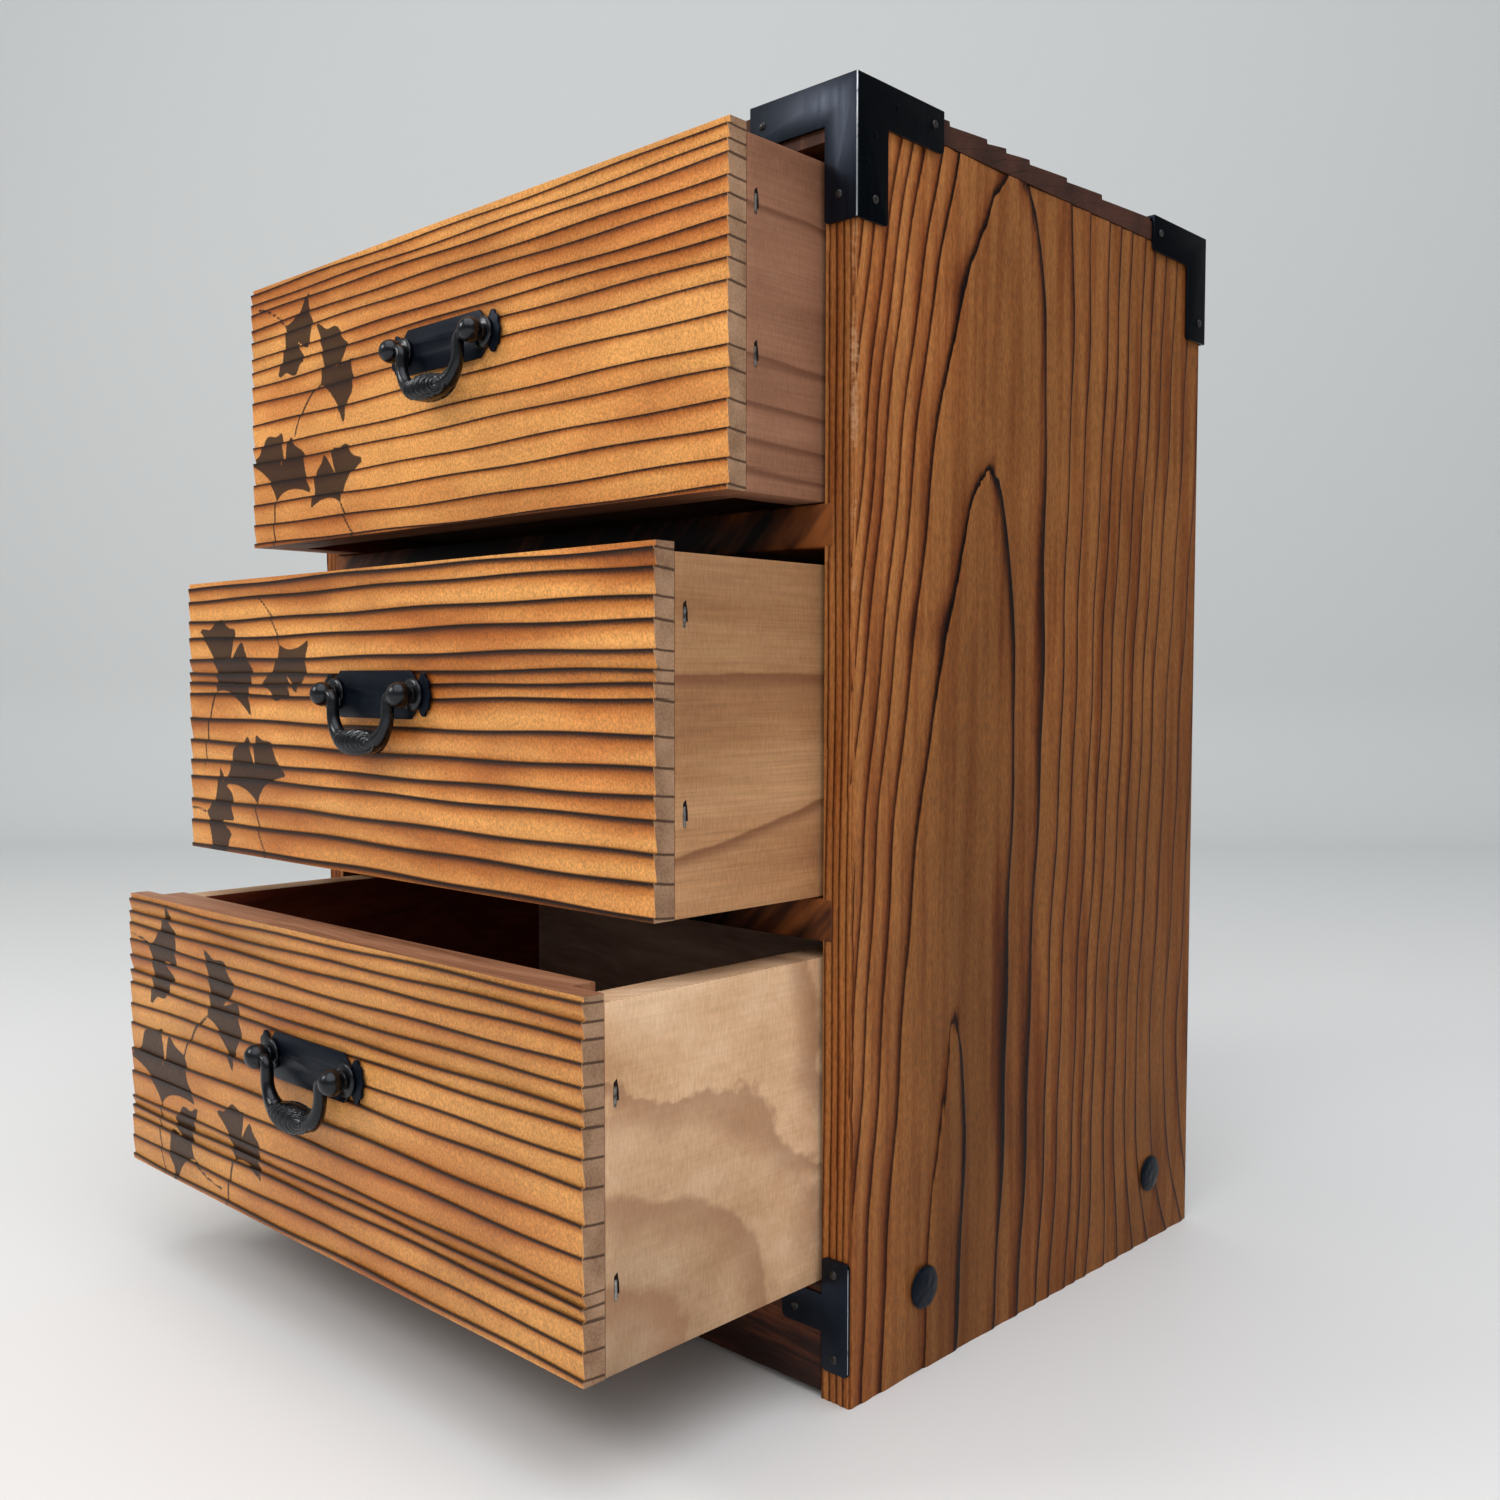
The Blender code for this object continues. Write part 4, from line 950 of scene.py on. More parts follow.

# %% [markdown]
# The other boards take the planed finish from above in their own colours. The inner faces of the drawer
# sides are painted dark reddish, painted shade of the drawer insides, and the drawer backs are painted
# paler, painted light that reaches in there. The rails and the kick board were charred almost black; on
# the rails the middle is painted darker still as the shadow of the drawer above, and only the ends, out
# of that shadow, are lighter, where slanting streaks show.

# %% Woods of the other boards
inner_wood = planed_wood("cedar_sawn_inner", [(0.0, "#452919"), (0.5, "#5d3b28"), (1.0, "#7a543b")],
                         (8, 60, 60), 0.03, 0.7)
# Painted shade: the inner faces of the drawer sides lie in shadow, so their finish is painted dark reddish
inner_face_shade_wood = planed_wood("cedar_inside_painted_shade", [(0.0, "#4a1b0f"), (0.5, "#6f2f1c"), (1.0, "#8a432b")],
                           (60, 8, 60), 0.03, 0.6)
# Painted light: the drawer backs are painted paler, for light that reaches the inside of the drawers
painted_light_back = planed_wood("cedar_sawn_back_painted_light", [(0.0, "#94705c"), (0.5, "#b8927c"), (1.0, "#d2ae96")],
                        (8, 60, 60), 0.03, 0.7)
dark_kick = planed_wood("cedar_burnt_kick",
                        [(0.0, "#0e0503"), (0.45, "#2b130b"), (0.8, "#4f2815"), (1.0, "#67371b")],
                        (14, 90, 120), 0.03, 0.6)
# The rails' near-black middle is charred wood and painted shadow of the drawer above; their ends are lighter
rail_burnt_and_shaded = planed_wood("cedar_burnt_rail_painted_shadow",
                         [(0.0, "#050201"), (0.5, "#0e0502"), (0.75, "#4a2510"), (1.0, "#84491f")],
                         (30, 14, 6), 0.02, 0.5, turn=(0, math.radians(-48), 0), shadow_half_width=0.122)
back_wood = planed_wood("cedar_plywood_back", [(0.0, "#5b3822"), (0.5, "#7a5033"), (1.0, "#966746")],
                        (60, 60, 5), 0.025, 0.7)
print("rails and kick board:", rail_burnt_and_shaded.name, dark_kick.name)

# %% [markdown]
# The growth lines of the drawer sides are contour lines of simple height fields. Each formula counts
# rings from the place on the board, in millimetres back from the front and up from the lower edge.

# %% Growth lines of the drawer sides
UPPER_LINES_MM = [-10, 6.5, 14.3, 24.2, 36.3, 78.1, 122]
MIDDLE_LINE_MM = 63.5


def upper_figure(along, rise):
    """A few level lines."""
    level = rise + 0.02 * along + 0.8 * np.sin(along / 38)
    return np.interp(level, UPPER_LINES_MM, range(len(UPPER_LINES_MM)))


def middle_figure(along, rise):
    """One level line and one that climbs towards the back."""
    upper = MIDDLE_LINE_MM + 0.6 * np.sin(along / 24)
    lower = np.minimum(16 + 0.15 * along + 0.0011 * along ** 2, upper - 6)
    return np.where(rise > upper, 2 + (rise - upper) / 70,
                    np.where(rise > lower, 1 + (rise - lower) / (upper - lower), 1 - (lower - rise) / 60))


def lower_figure(along, rise):
    """Three arcs around the lower front corner, drawn out towards the back, and a band at the upper rear."""
    arcs = np.hypot((along + 2) / 58, (rise + 1) / 44) / 0.53
    arcs = np.where(arcs > 3, 3 + 0.3 * (arcs - 3), arcs)
    band = 0.95 * np.exp(-((along - 92) / 17) ** 2) * rising(rise, 38, 25)
    return arcs + band + 0.05 * np.sin(along / 9) + 0.05 * np.sin(rise / 7 + along / 15)


print("level lines on the upper drawer's side:", len(UPPER_LINES_MM) - 2)

# %% [markdown]
# A saw leaves the edges of a board crisp, but never razor sharp, so each plain board is a copy of its CAD
# solid with the arrises eased by about half a millimetre. The copies with growth lines are cut into small
# squares first, so that there are points to carry the lines.

# %% Eased copies of the CAD boards
FIGURE_GRID_MM = 3.5


def solid_copy(name):
    """A CAD solid's shape with its triangles merged back into faces."""
    bm = bmesh.new()
    bm.from_mesh(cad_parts[name].data)
    bmesh.ops.remove_doubles(bm, verts=bm.verts, dist=0.01 * MM)
    bmesh.ops.dissolve_limit(bm, angle_limit=math.radians(1), verts=bm.verts, edges=bm.edges)
    return bm


def soften(bm, edges, ease, segments=2):
    return bmesh.ops.bevel(bm, geom=edges, offset=ease * MM, segments=segments, profile=0.5, affect="EDGES",
                           clamp_overlap=True)


def outer_edges(bm, least):
    """Edges that stick out and turn by at least this angle."""
    return [e for e in bm.edges if len(e.link_faces) == 2 and e.is_convex and e.calc_face_angle() > least]


def eased(name, ease):
    bm = solid_copy(name)
    soften(bm, outer_edges(bm, 0.5), ease)
    return bm


def slice_up(bm, low, high, step):
    for axis, normal in ((1, (0, 1, 0)), (2, (0, 0, 1))):
        for at in np.arange(low[axis] + step, high[axis], step):
            spot = [0, 0, 0]
            spot[axis] = at
            everything = bm.verts[:] + bm.edges[:] + bm.faces[:]
            bmesh.ops.bisect_plane(bm, geom=everything, plane_co=spot, plane_no=normal)


def board_copy(name, ease, finish, body, slot, figure=None, lining=None):
    """A softened copy of a CAD board; lining is the finish of the face towards the middle of the chest."""
    bm = eased(name, ease)
    low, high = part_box(name)
    if figure:
        slice_up(bm, low, high, FIGURE_GRID_MM * MM)
    mesh = mesh_from(bm, name + "_eased")
    if figure:
        spots = np.array([v.co for v in mesh.vertices])
        along, rise = (spots[:, 1] - low.y) / MM, (spots[:, 2] - low.z) / MM
        slope = np.hypot(figure(along + 0.5, rise) - figure(along - 0.5, rise),
                         figure(along, rise + 0.5) - figure(along, rise - 0.5))
        store(mesh, {"ring": figure(along, rise), "width": 1 / np.maximum(slope, 0.008)})
    dress(mesh, [finish, lining] if lining else [finish], 30)
    if lining:
        for face in mesh.polygons:
            face.material_index = int(abs(face.normal.x) > 0.8 and face.normal.x * face.center.x < 0)
    return hand_over(bpy.data.objects.new(name + "_eased", mesh), body, slot, name)


print("growth lines are carried by points", FIGURE_GRID_MM, "mm apart")

# %% Plain boards of the drawers and the case
made = []
for drawer, finish, figure in (("lower", side_lower, lower_figure), ("middle", side_middle, middle_figure),
                               ("upper", side_upper, upper_figure)):
    body = f"drawer_{drawer}"
    for piece in ("side_left", "side_right"):
        # The inner faces take the painted shade of the drawer insides
        made.append(board_copy(f"{body}_{piece}", 0.4, finish, body, "drawer_wood", figure, inner_face_shade_wood))
    # The backs take the paler finish, which is painted light
    for piece, wood in (("back", painted_light_back), ("bottom", inner_wood)):
        made.append(board_copy(f"{body}_{piece}", 0.3, wood, body, "drawer_wood"))
for name in ("rail_lower", "rail_upper"):
    made.append(board_copy(name, 0.6, rail_burnt_and_shaded, "case", "burnt_cedar_dark"))
made.append(board_copy("kick_board", 0.6, dark_kick, "case", "burnt_cedar_dark"))
for name in ("runner_lower_left", "runner_lower_right", "runner_upper_left", "runner_upper_right"):
    made.append(board_copy(name, 0.4, inner_wood, "case", "drawer_wood"))
made.append(board_copy("bottom_board", 0.4, dark_kick, "case", "burnt_cedar_dark"))
made.append(board_copy("back_board", 0.5, back_wood, "case", "burnt_cedar_case"))
print("plain boards:", len(made))

# %% [markdown]
# ## Black iron
# The irons are folded from sheet steel that was blackened and oiled. That gives a deep blue-black with a
# soft gloss and fine lines from the rolling, which run up the sheet. Where the fold has been rubbed, the
# bare steel shines through. The pulls are cast in a harder black, with a slightly sandy skin.

# %% Finishes of the irons
def black_iron(name, deep, sheen, roughness, shine, lines, grain_mm, bite, gleam="#a9c0ec"):
    """lines is how many rolling lines fit in a metre along X, Y and Z; bite is the skin's depth in mm."""
    material, tree, shader, place = new_finish(name)
    drawn = node(tree, "ShaderNodeMapping", {"Vector": place, "Scale": lines})
    brush = node(tree, "ShaderNodeTexNoise", {"Vector": drawn, "Scale": 1.0, "Detail": 3.0})
    cloud = node(tree, "ShaderNodeTexNoise", {"Vector": place, "Scale": 120.0, "Detail": 2.0})
    grain = node(tree, "ShaderNodeTexNoise", {"Vector": place, "Scale": 1000.0 / grain_mm, "Detail": 2.0})
    both = node(tree, "ShaderNodeMath", {0: cloud, 1: 0.6, 2: brush}, operation="MULTIPLY_ADD")
    mixed = node(tree, "ShaderNodeMapRange", {"Value": both, "From Min": 0.5, "From Max": 1.1})
    colour = node(tree, "ShaderNodeMix", {0: mixed, 6: linear(deep), 7: linear(sheen)},
                  data_type="RGBA", out=2)
    rough = node(tree, "ShaderNodeMapRange", {"Value": both, "From Min": 0.5, "From Max": 1.1,
                                              "To Min": roughness[0], "To Max": roughness[1]})
    height = node(tree, "ShaderNodeMath", {0: grain, 1: bite * MM}, operation="MULTIPLY")
    bump = node(tree, "ShaderNodeBump", {"Height": height, "Distance": 1.0})
    feed(tree, shader, {"Base Color": colour, "Roughness": rough, "Specular IOR Level": shine,
                        "Specular Tint": linear(gleam), "Normal": bump})
    return material


sheet_iron = black_iron("steel_sheet_blackened", "#030508", "#0c1119", (0.28, 0.42), 0.36,
                        (700, 700, 18), 1.6, 0.01)
plate_iron = black_iron("steel_plate_blackened", "#04070b", "#0d131c", (0.3, 0.45), 0.16,
                        (160, 160, 160), 1.6, 0.01)
# A darker, duller copy of the sheet's black for the side wings and their dents: painted shade, as the wings
# look darker than the front
wing_iron_shaded = black_iron("steel_sheet_blackened_wing_shade", "#010203", "#04070b", (0.4, 0.55), 0.05,
                       (700, 700, 18), 1.6, 0.01)
cast_iron = black_iron("iron_cast_black", "#030405", "#0b0c0e", (0.2, 0.32), 0.5,
                       (160, 160, 160), 0.7, 0.035, gleam="#dfe5ee")

worn_steel, tree, shader, place = new_finish("steel_edge_rubbed_bright")
scuffs = node(tree, "ShaderNodeTexNoise", {"Vector": place, "Scale": 260.0, "Detail": 4.0})
rubbed = node(tree, "ShaderNodeValToRGB", {"Fac": scuffs},
              stops=[(0.28, "#3a3d42"), (0.40, "#b9bcc0"), (1.0, "#dfe1e3")])
scratch = node(tree, "ShaderNodeMapRange", {"Value": scuffs, "To Min": 0.45, "To Max": 0.22})
feed(tree, shader, {"Base Color": rubbed, "Metallic": 1.0, "Roughness": scratch})
print("iron finishes:", sheet_iron.name, cast_iron.name, worn_steel.name)

# %% [markdown]
# ## Corner irons and T plates
# Each iron is a copy of its CAD solid, worked as a smith would finish it: first the free corners of the
# legs are rounded, then the long folds, then every remaining edge loses its burr. The edges are told
# apart by their length, because the short ones are as long as the sheet is thick.

# %% Irons
SHORT_MM, FOLD_LEAST_MM, NEAR_MM = 1.2, 5, 0.05
LEG_CORNER_MM, BURR_MM = 1.5, 0.16
FOLD_MM = {"iron": 0.32, "t_plate": 0.1}


def iron_copy(name, fold_at, fold_width):
    bm = solid_copy(name)

    def short(edge):
        return edge.calc_length() < SHORT_MM * MM

    def thin(face):
        return any(short(e) for e in face.edges) and len(face.verts) <= 6

    corners = [e for e in bm.edges if short(e) and e.is_convex and all(thin(f) for f in e.link_faces)]
    soften(bm, corners, LEG_CORNER_MM, 4)
    x, y = fold_at
    fold = [e for e in bm.edges if e.calc_length() > FOLD_LEAST_MM * MM
            and all(abs(v.co.x - x) < NEAR_MM * MM and abs(v.co.y - y) < NEAR_MM * MM for v in e.verts)]
    for face in soften(bm, fold, fold_width, 3)["faces"]:
        face.material_index = 1
    soften(bm, outer_edges(bm, 0.7), BURR_MM)
    mesh = mesh_from(bm, name + "_iron")
    dress(mesh, [sheet_iron, worn_steel, wing_iron_shaded], 40)
    for face in mesh.polygons:  # the side wings get a darker, duller copy of the black: painted shade
        if face.material_index == 0 and abs(face.normal.x) > 0.8:
            face.material_index = 2
    return hand_over(bpy.data.objects.new(name + "_iron", mesh), "case", "black_sheet_iron", name)


for side, hand in SIDES:
    for place in ("front", "back"):
        low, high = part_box(f"iron_{place}_{side}")
        fold = (high.x if hand > 0 else low.x, low.y if place == "front" else high.y)
        iron = iron_copy(f"iron_{place}_{side}", fold, FOLD_MM["iron"])
    low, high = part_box(f"t_plate_{side}")
    iron_copy(f"t_plate_{side}", (high.x if hand > 0 else low.x, low.y), FOLD_MM["t_plate"])
print("an iron has", len(iron.data.polygons), "faces")

# %% [markdown]
# ## Round fittings
# Studs and posts are turned or forged round. A profile of radius and height in millimetres, spun in fine
# steps, gives a clean round form. The domes of the studs were hammered, so no spot is quite level.

# %% Turned pieces
def spin(profile, centre, axis, steps=48):
    """Profile pairs (radius, height) from pole to pole, spun about an axis through the centre."""
    turn = Vector((0, 0, 1)).rotation_difference(Vector(axis)).to_matrix()
    bm = bmesh.new()
    rings = []
    for radius, height in profile:
        radius, height = radius * MM, height * MM
        around = [0.0] if radius == 0 else [2 * math.pi * k / steps for k in range(steps)]
        spots = [Vector((radius * math.cos(a), radius * math.sin(a), height)) for a in around]
        rings.append([bm.verts.new(Vector(centre) + turn @ spot) for spot in spots])
    for lower, upper in zip(rings, rings[1:]):
        for k in range(steps):
            corners = [lower[k % len(lower)], lower[(k + 1) % len(lower)],
                       upper[(k + 1) % len(upper)], upper[k % len(upper)]]
            bm.faces.new(list(dict.fromkeys(corners)))
    bmesh.ops.recalc_face_normals(bm, faces=bm.faces)
    return bm


def finish_round(bm, name, finish, body, slot, *nodes):
    mesh = mesh_from(bm, name)
    dress(mesh, [finish], 50)
    return hand_over(bpy.data.objects.new(name, mesh), body, slot, *nodes)


STUD_DOME_MM, STUD_RADIUS_MM, STUD_RIM_MM = 1.5, 6.6, 0.2
SHANK_MM, SHANK_END_MM, STUD_BACK_MM = 2.0, -5.6, -0.05
HAMMERED_MM, DENTS_PER_M = 0.2, 420
studs = []
for side, hand in SIDES:
    for place in ("front", "back"):
        name = f"stud_{side}_{place}"
        low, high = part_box(name)
        seat = (low.x if hand < 0 else high.x) - hand * STUD_DOME_MM * MM
        centre = (seat, (low.y + high.y) / 2, (low.z + high.z) / 2)
        profile = [(0, SHANK_END_MM), (SHANK_MM, SHANK_END_MM), (SHANK_MM, STUD_BACK_MM),
                   (STUD_RADIUS_MM - 0.25, STUD_BACK_MM), (STUD_RADIUS_MM, STUD_RIM_MM)]
        profile += [(STUD_RADIUS_MM * math.cos(t), STUD_RIM_MM + (STUD_DOME_MM - STUD_RIM_MM) * math.sin(t))
                    for t in np.radians(np.arange(6, 89, 6))]
        profile.append((0, STUD_DOME_MM))
        bm = spin(profile, centre, (hand, 0, 0))
        for vert in bm.verts:
            vert.co.x -= hand * HAMMERED_MM * MM * (1 + noise.noise(vert.co * DENTS_PER_M))
        studs.append(finish_round(bm, name + "_dome", plate_iron, "case", "black_cast_iron", name))
print("studs:", len(studs))

# %% [markdown]
# ## Bail pulls
# Each pull hangs on two posts that pass through the front to a nut inside. The post has a collar and a
# ball head, and the bail's ends turn outwards into it. The posts are spun, and the plate and the nuts are
# eased copies of their solids.

# %% Plates, posts and nuts
POST_STAND_MM, POST_BALL_MM, POST_STEPS = 6.5, 4.0, 36
POST_FOOT_MM = [(0, -19.4), (1.4, -19.4), (1.7, -19.0), (1.7, 1.6), (5.0, 1.6), (5.2, 1.8), (5.2, 2.3),
                (4.7, 2.75), (3.7, 2.9), (2.95, 3.15)]
PLATE_EASE_MM, NUT_EASE_MM = 0.22, 0.35


def pull_fittings(drawer):
    body = f"drawer_{drawer}"
    name = f"{body}_pull_plate"
    fittings = [finish_round(eased(name, PLATE_EASE_MM), name + "_sheet", plate_iron, body,
                             "black_sheet_iron", name)]
    for side, _ in SIDES:
        name = f"{body}_pull_post_{side}"
        low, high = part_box(name)
        centre = ((low.x + high.x) / 2, low.y + (POST_STAND_MM + POST_BALL_MM) * MM, (low.z + high.z) / 2)
        profile = POST_FOOT_MM + [(POST_BALL_MM * math.cos(t), POST_STAND_MM + POST_BALL_MM * math.sin(t))
                                  for t in np.radians(np.arange(-45, 89, 8))]
        profile.append((0, POST_STAND_MM + POST_BALL_MM))
        post = spin(profile, centre, (0, -1, 0), POST_STEPS)
        fittings.append(finish_round(post, name + "_turned", cast_iron, body, "black_cast_iron", name))
        name = f"{body}_pull_nut_{side}"
        fittings.append(finish_round(eased(name, NUT_EASE_MM), name + "_eased", cast_iron, body,
                                     "black_cast_iron", name))
    return fittings


fittings = [piece for drawer in DRAWERS for piece in pull_fittings(drawer)]
print("pull fittings:", len(fittings))

# %% [markdown]
# The bail thickens into a bow with a cast pattern of overlapping discs, fanned out like coins, each with
# rings in it. The bow is swept as rings of points along its middle line, so the discs can be raised right
# on the points: each rises towards its edge, and the next one starts under it.

# %% Bails
ARM_MM, DROP_MM, BEND_MM, ELBOW_MM = 15.8, 15.0, 9.5, 2.6
PIN_MM, WIRE_MM = 1.6, 2.0  # radius of the pins and of the arms
BOW_MM, DISC_MM, RING_MM = 4.3, 4.6, 1.5  # radius of the bow and of a disc on it, and its ring spacing
DISC_COUNT, DISC_FIRST_MM, DISC_PITCH_MM = 6, -7.6, 3.0
BOW_HALF_MM, BOW_FADE_MM, BOW_SUNK_MM = 11.5, 2.0, 0.42


def bail_line():
    """Middle line of the right half in millimetres, from the pin down to the bow: (x, z, radius)."""
    line = [(22.8, 0, PIN_MM), (21.5, 0, PIN_MM), (20.2, 0, 1.62)]
    line += [(ARM_MM + ELBOW_MM * (1 - math.sin(t)), -ELBOW_MM * (1 - math.cos(t)), 1.65 + 0.35 * t / 1.57)
             for t in np.linspace(0, math.pi / 2, 7)]
    line += [(ARM_MM, -z, WIRE_MM) for z in np.linspace(ELBOW_MM + 0.5, DROP_MM - BEND_MM, 5)]
    line += [(ARM_MM - BEND_MM * (1 - math.cos(t)), -(DROP_MM - BEND_MM) - BEND_MM * math.sin(t),
              WIRE_MM + 2.0 * (t / 1.571) ** 2) for t in np.linspace(0.05, math.pi / 2, 60)]
    line += [(x, -DROP_MM, 4.0 + 0.65 * (1 - (x / 6.3) ** 2)) for x in np.linspace(6.2, 0, 40)]
    return line


def disc_relief(along, around):
    """Height of the cast discs, in millimetres, by millimetres along the bow and turns around it."""
    aside = np.abs(np.mod(around, 0.5) - 0.25) * 2 * math.pi * BOW_MM
    lift = np.zeros_like(along)
    last = DISC_FIRST_MM + (DISC_COUNT - 1) * DISC_PITCH_MM
    for centre in np.arange(last, DISC_FIRST_MM - 0.1, -DISC_PITCH_MM):
        out = np.hypot(along - centre, aside)
        rings = 0.05 + 0.28 * (out / DISC_MM) ** 2 + 0.13 * (1 + np.cos(2 * math.pi * out / RING_MM))
        lift = np.where(out < DISC_MM, rings, lift)
    return lift


def bail(drawer, steps=96):
    name = f"drawer_{drawer}_pull_bail"
    low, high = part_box(name)
    pivot = Vector((0, (low.y + high.y) / 2, high.z - PIN_MM * MM))
    half = bail_line()
    line = np.array(half + [(-x, z, r) for x, z, r in reversed(half[:-1])])
    ahead = np.gradient(line[:, :2], axis=0)
    ahead /= np.linalg.norm(ahead, axis=1)[:, None]
    length = np.concatenate([[0], np.cumsum(np.linalg.norm(np.diff(line[:, :2], axis=0), axis=1))])
    from_middle = length - length[len(length) // 2]
    turns = np.arange(steps) / steps
    along = np.broadcast_to(from_middle[:, None], (len(line), steps))
    around = np.broadcast_to(turns[None], along.shape)
    bow = np.clip((BOW_HALF_MM - np.abs(along)) / BOW_FADE_MM, 0, 1)
    radius = line[:, 2:3] - BOW_SUNK_MM * bow + disc_relief(along, around) * bow
    angle = 2 * math.pi * around
    side = np.stack([-ahead[:, 1], ahead[:, 0]], -1)
    x = line[:, 0:1] + side[:, 0:1] * radius * np.cos(angle)
    z = line[:, 1:2] + side[:, 1:2] * radius * np.cos(angle)
    y = radius * np.sin(angle)
    points = np.stack([x, y, z], -1) * MM + np.array(pivot)
    faces = tube_faces(len(line), steps)
    swept = piece_from_arrays(name + "_cast", points.reshape(-1, 3), faces, [cast_iron], [0] * len(faces), {},
                              sharp=60)
    return hand_over(swept, f"bail_{drawer}", "black_cast_iron", name)


for drawer in DRAWERS:
    swept = bail(drawer)
print(swept.name, len(swept.data.polygons), "faces")

# %% [markdown]
# ## Nails and staples
# Small round-headed nails hold the irons, and wire staples hold the drawer corners. Both repeat, so
# Geometry Nodes set them: a handful of points, each with a direction, and a tree that puts one head on
# every point. The tree's sizes are named inputs and its random sizes come from a fixed seed. The result
# is made a plain mesh at the end, because instances would not survive an export.

# %% Node trees that set a shape on every point
def new_tree(name, sizes):
    tree = bpy.data.node_groups.new(name, "GeometryNodeTree")
    tree.interface.new_socket("Geometry", in_out="INPUT", socket_type="NodeSocketGeometry")
    for size in sizes:
        tree.interface.new_socket(size, in_out="INPUT", socket_type="NodeSocketFloat")
    tree.interface.new_socket("Finish", in_out="INPUT", socket_type="NodeSocketMaterial")
    tree.interface.new_socket("Geometry", in_out="OUTPUT", socket_type="NodeSocketGeometry")
    return tree, tree.nodes.new("NodeGroupInput").outputs


def turned_to_aim(tree):
    """Rotation that turns a shape's Z axis to the point's own "aim"."""
    aim = node(tree, "GeometryNodeInputNamedAttribute", {"Name": "aim"}, data_type="FLOAT_VECTOR")
    return node(tree, "FunctionNodeAlignRotationToVector", {"Vector": aim}, axis="Z")


def set_on_points(tree, given, shape, **placing):
    copies = node(tree, "GeometryNodeInstanceOnPoints", {"Points": given["Geometry"], "Instance": shape,
                                                         **placing})
    real = node(tree, "GeometryNodeRealizeInstances", {"Geometry": copies})
    dressed = node(tree, "GeometryNodeSetMaterial", {"Geometry": real, "Material": given["Finish"]})
    node(tree, "NodeGroupOutput", {"Geometry": dressed})


def run_tree(name, tree, spots, attribute, sizes, finish, body, slot):
    """Run a tree on spots, pairs of a place and the vector that the attribute holds there."""
    mesh = bpy.data.meshes.new(name + "_points")
    mesh.from_pydata([place for place, _ in spots], [], [])
    layer = mesh.attributes.new(attribute, "FLOAT_VECTOR", "POINT")
    layer.data.foreach_set("vector", np.array([vector for _, vector in spots], np.float32).ravel())
    maker = bpy.data.objects.new(name + "_points", mesh)
    bpy.context.scene.collection.objects.link(maker)
    modifier = maker.modifiers.new(tree.name, "NODES")
    modifier.node_group = tree
    for socket in tree.interface.items_tree:
        if socket.in_out == "INPUT" and socket.name in sizes:
            modifier[socket.identifier] = sizes[socket.name]
        elif socket.in_out == "INPUT" and socket.name == "Finish":
            modifier[socket.identifier] = finish
    bpy.context.view_layer.update()
    evaluated = maker.evaluated_get(bpy.context.evaluated_depsgraph_get())
    plain = bpy.data.meshes.new_from_object(evaluated)
    plain.name = name
    maker.modifiers.clear()
    bpy.data.objects.remove(maker)
    return hand_over(bpy.data.objects.new(name, plain), body, slot)


def dull_steel(name, blots, stops, metallic, roughness):
    """Steel that has dulled in blots, so many in a metre."""
    material, tree, shader, place = new_finish(name)
    blot = node(tree, "ShaderNodeTexNoise", {"Vector": place, "Scale": blots, "Detail": 3.0})
    colour = node(tree, "ShaderNodeValToRGB", {"Fac": blot}, stops=stops)
    feed(tree, shader, {"Base Color": colour, "Metallic": metallic, "Roughness": roughness})
    return material


nail_steel = dull_steel("steel_nail_dull", 900.0, [(0.3, "#1d1a19"), (0.7, "#4a4746")], 0.7, 0.4)
staple_steel = dull_steel("steel_wire_galvanised", 700.0, [(0.3, "#4d4a46"), (0.7, "#a5a29c")], 1.0, 0.42)
print("fastener finishes:", nail_steel.name, staple_steel.name)

# %% [markdown]
# A nail head is a ball, squashed to its height. The nails' places are measured on the irons in
# millimetres: how far in from the fold or the outer edge, and how far down from the top or up from the
# foot. On the sides the front irons also have the dents of nails that were set wrong. They are low, wide
# heads in the side wings' darker black, which is painted shade.

# %% Nails of the irons
NAIL_MM, NAIL_HEIGHT_MM = 1.4, 0.6
DENT_MM, DENT_HEIGHT_MM = 1.1, 0.14
FRONT_WING_NAILS_MM = ((36.3, 5.0), (8.3, 33.6))
FRONT_WING_DENTS_MM = ((18.3, 5.4), (8.0, 15.7), (4.9, 23.8))
BACK_WING_NAILS_MM = ((36.0, 5.7), (5.0, 32.7))
FACE_NAILS_MM = ((6.6, 32.5), (36.0, 6.4))
ROOF_NAIL_IN_MM, ROOF_NAIL_BACK_MM = 7.5, 33
T_PLATE_NAILS_MM = ((5.5, 29.2), (5.4, 4.2), (20.4, 16.0))

nail_tree, given = new_tree("nail_heads", ("Radius", "Height"))
ball = node(nail_tree, "GeometryNodeMeshUVSphere", {"Segments": 14, "Rings": 8, "Radius": 1.0})
soft = node(nail_tree, "GeometryNodeSetShadeSmooth", {"Geometry": ball})
size = node(nail_tree, "ShaderNodeCombineXYZ", {0: given["Radius"], 1: given["Radius"], 2: given["Height"]})
head = node(nail_tree, "GeometryNodeTransform", {"Geometry": soft, "Scale": size})
grown = node(nail_tree, "FunctionNodeRandomValue", {2: 0.88, 3: 1.1, "Seed": 4}, data_type="FLOAT", out=1)
set_on_points(nail_tree, given, head, Rotation=turned_to_aim(nail_tree), Scale=grown)

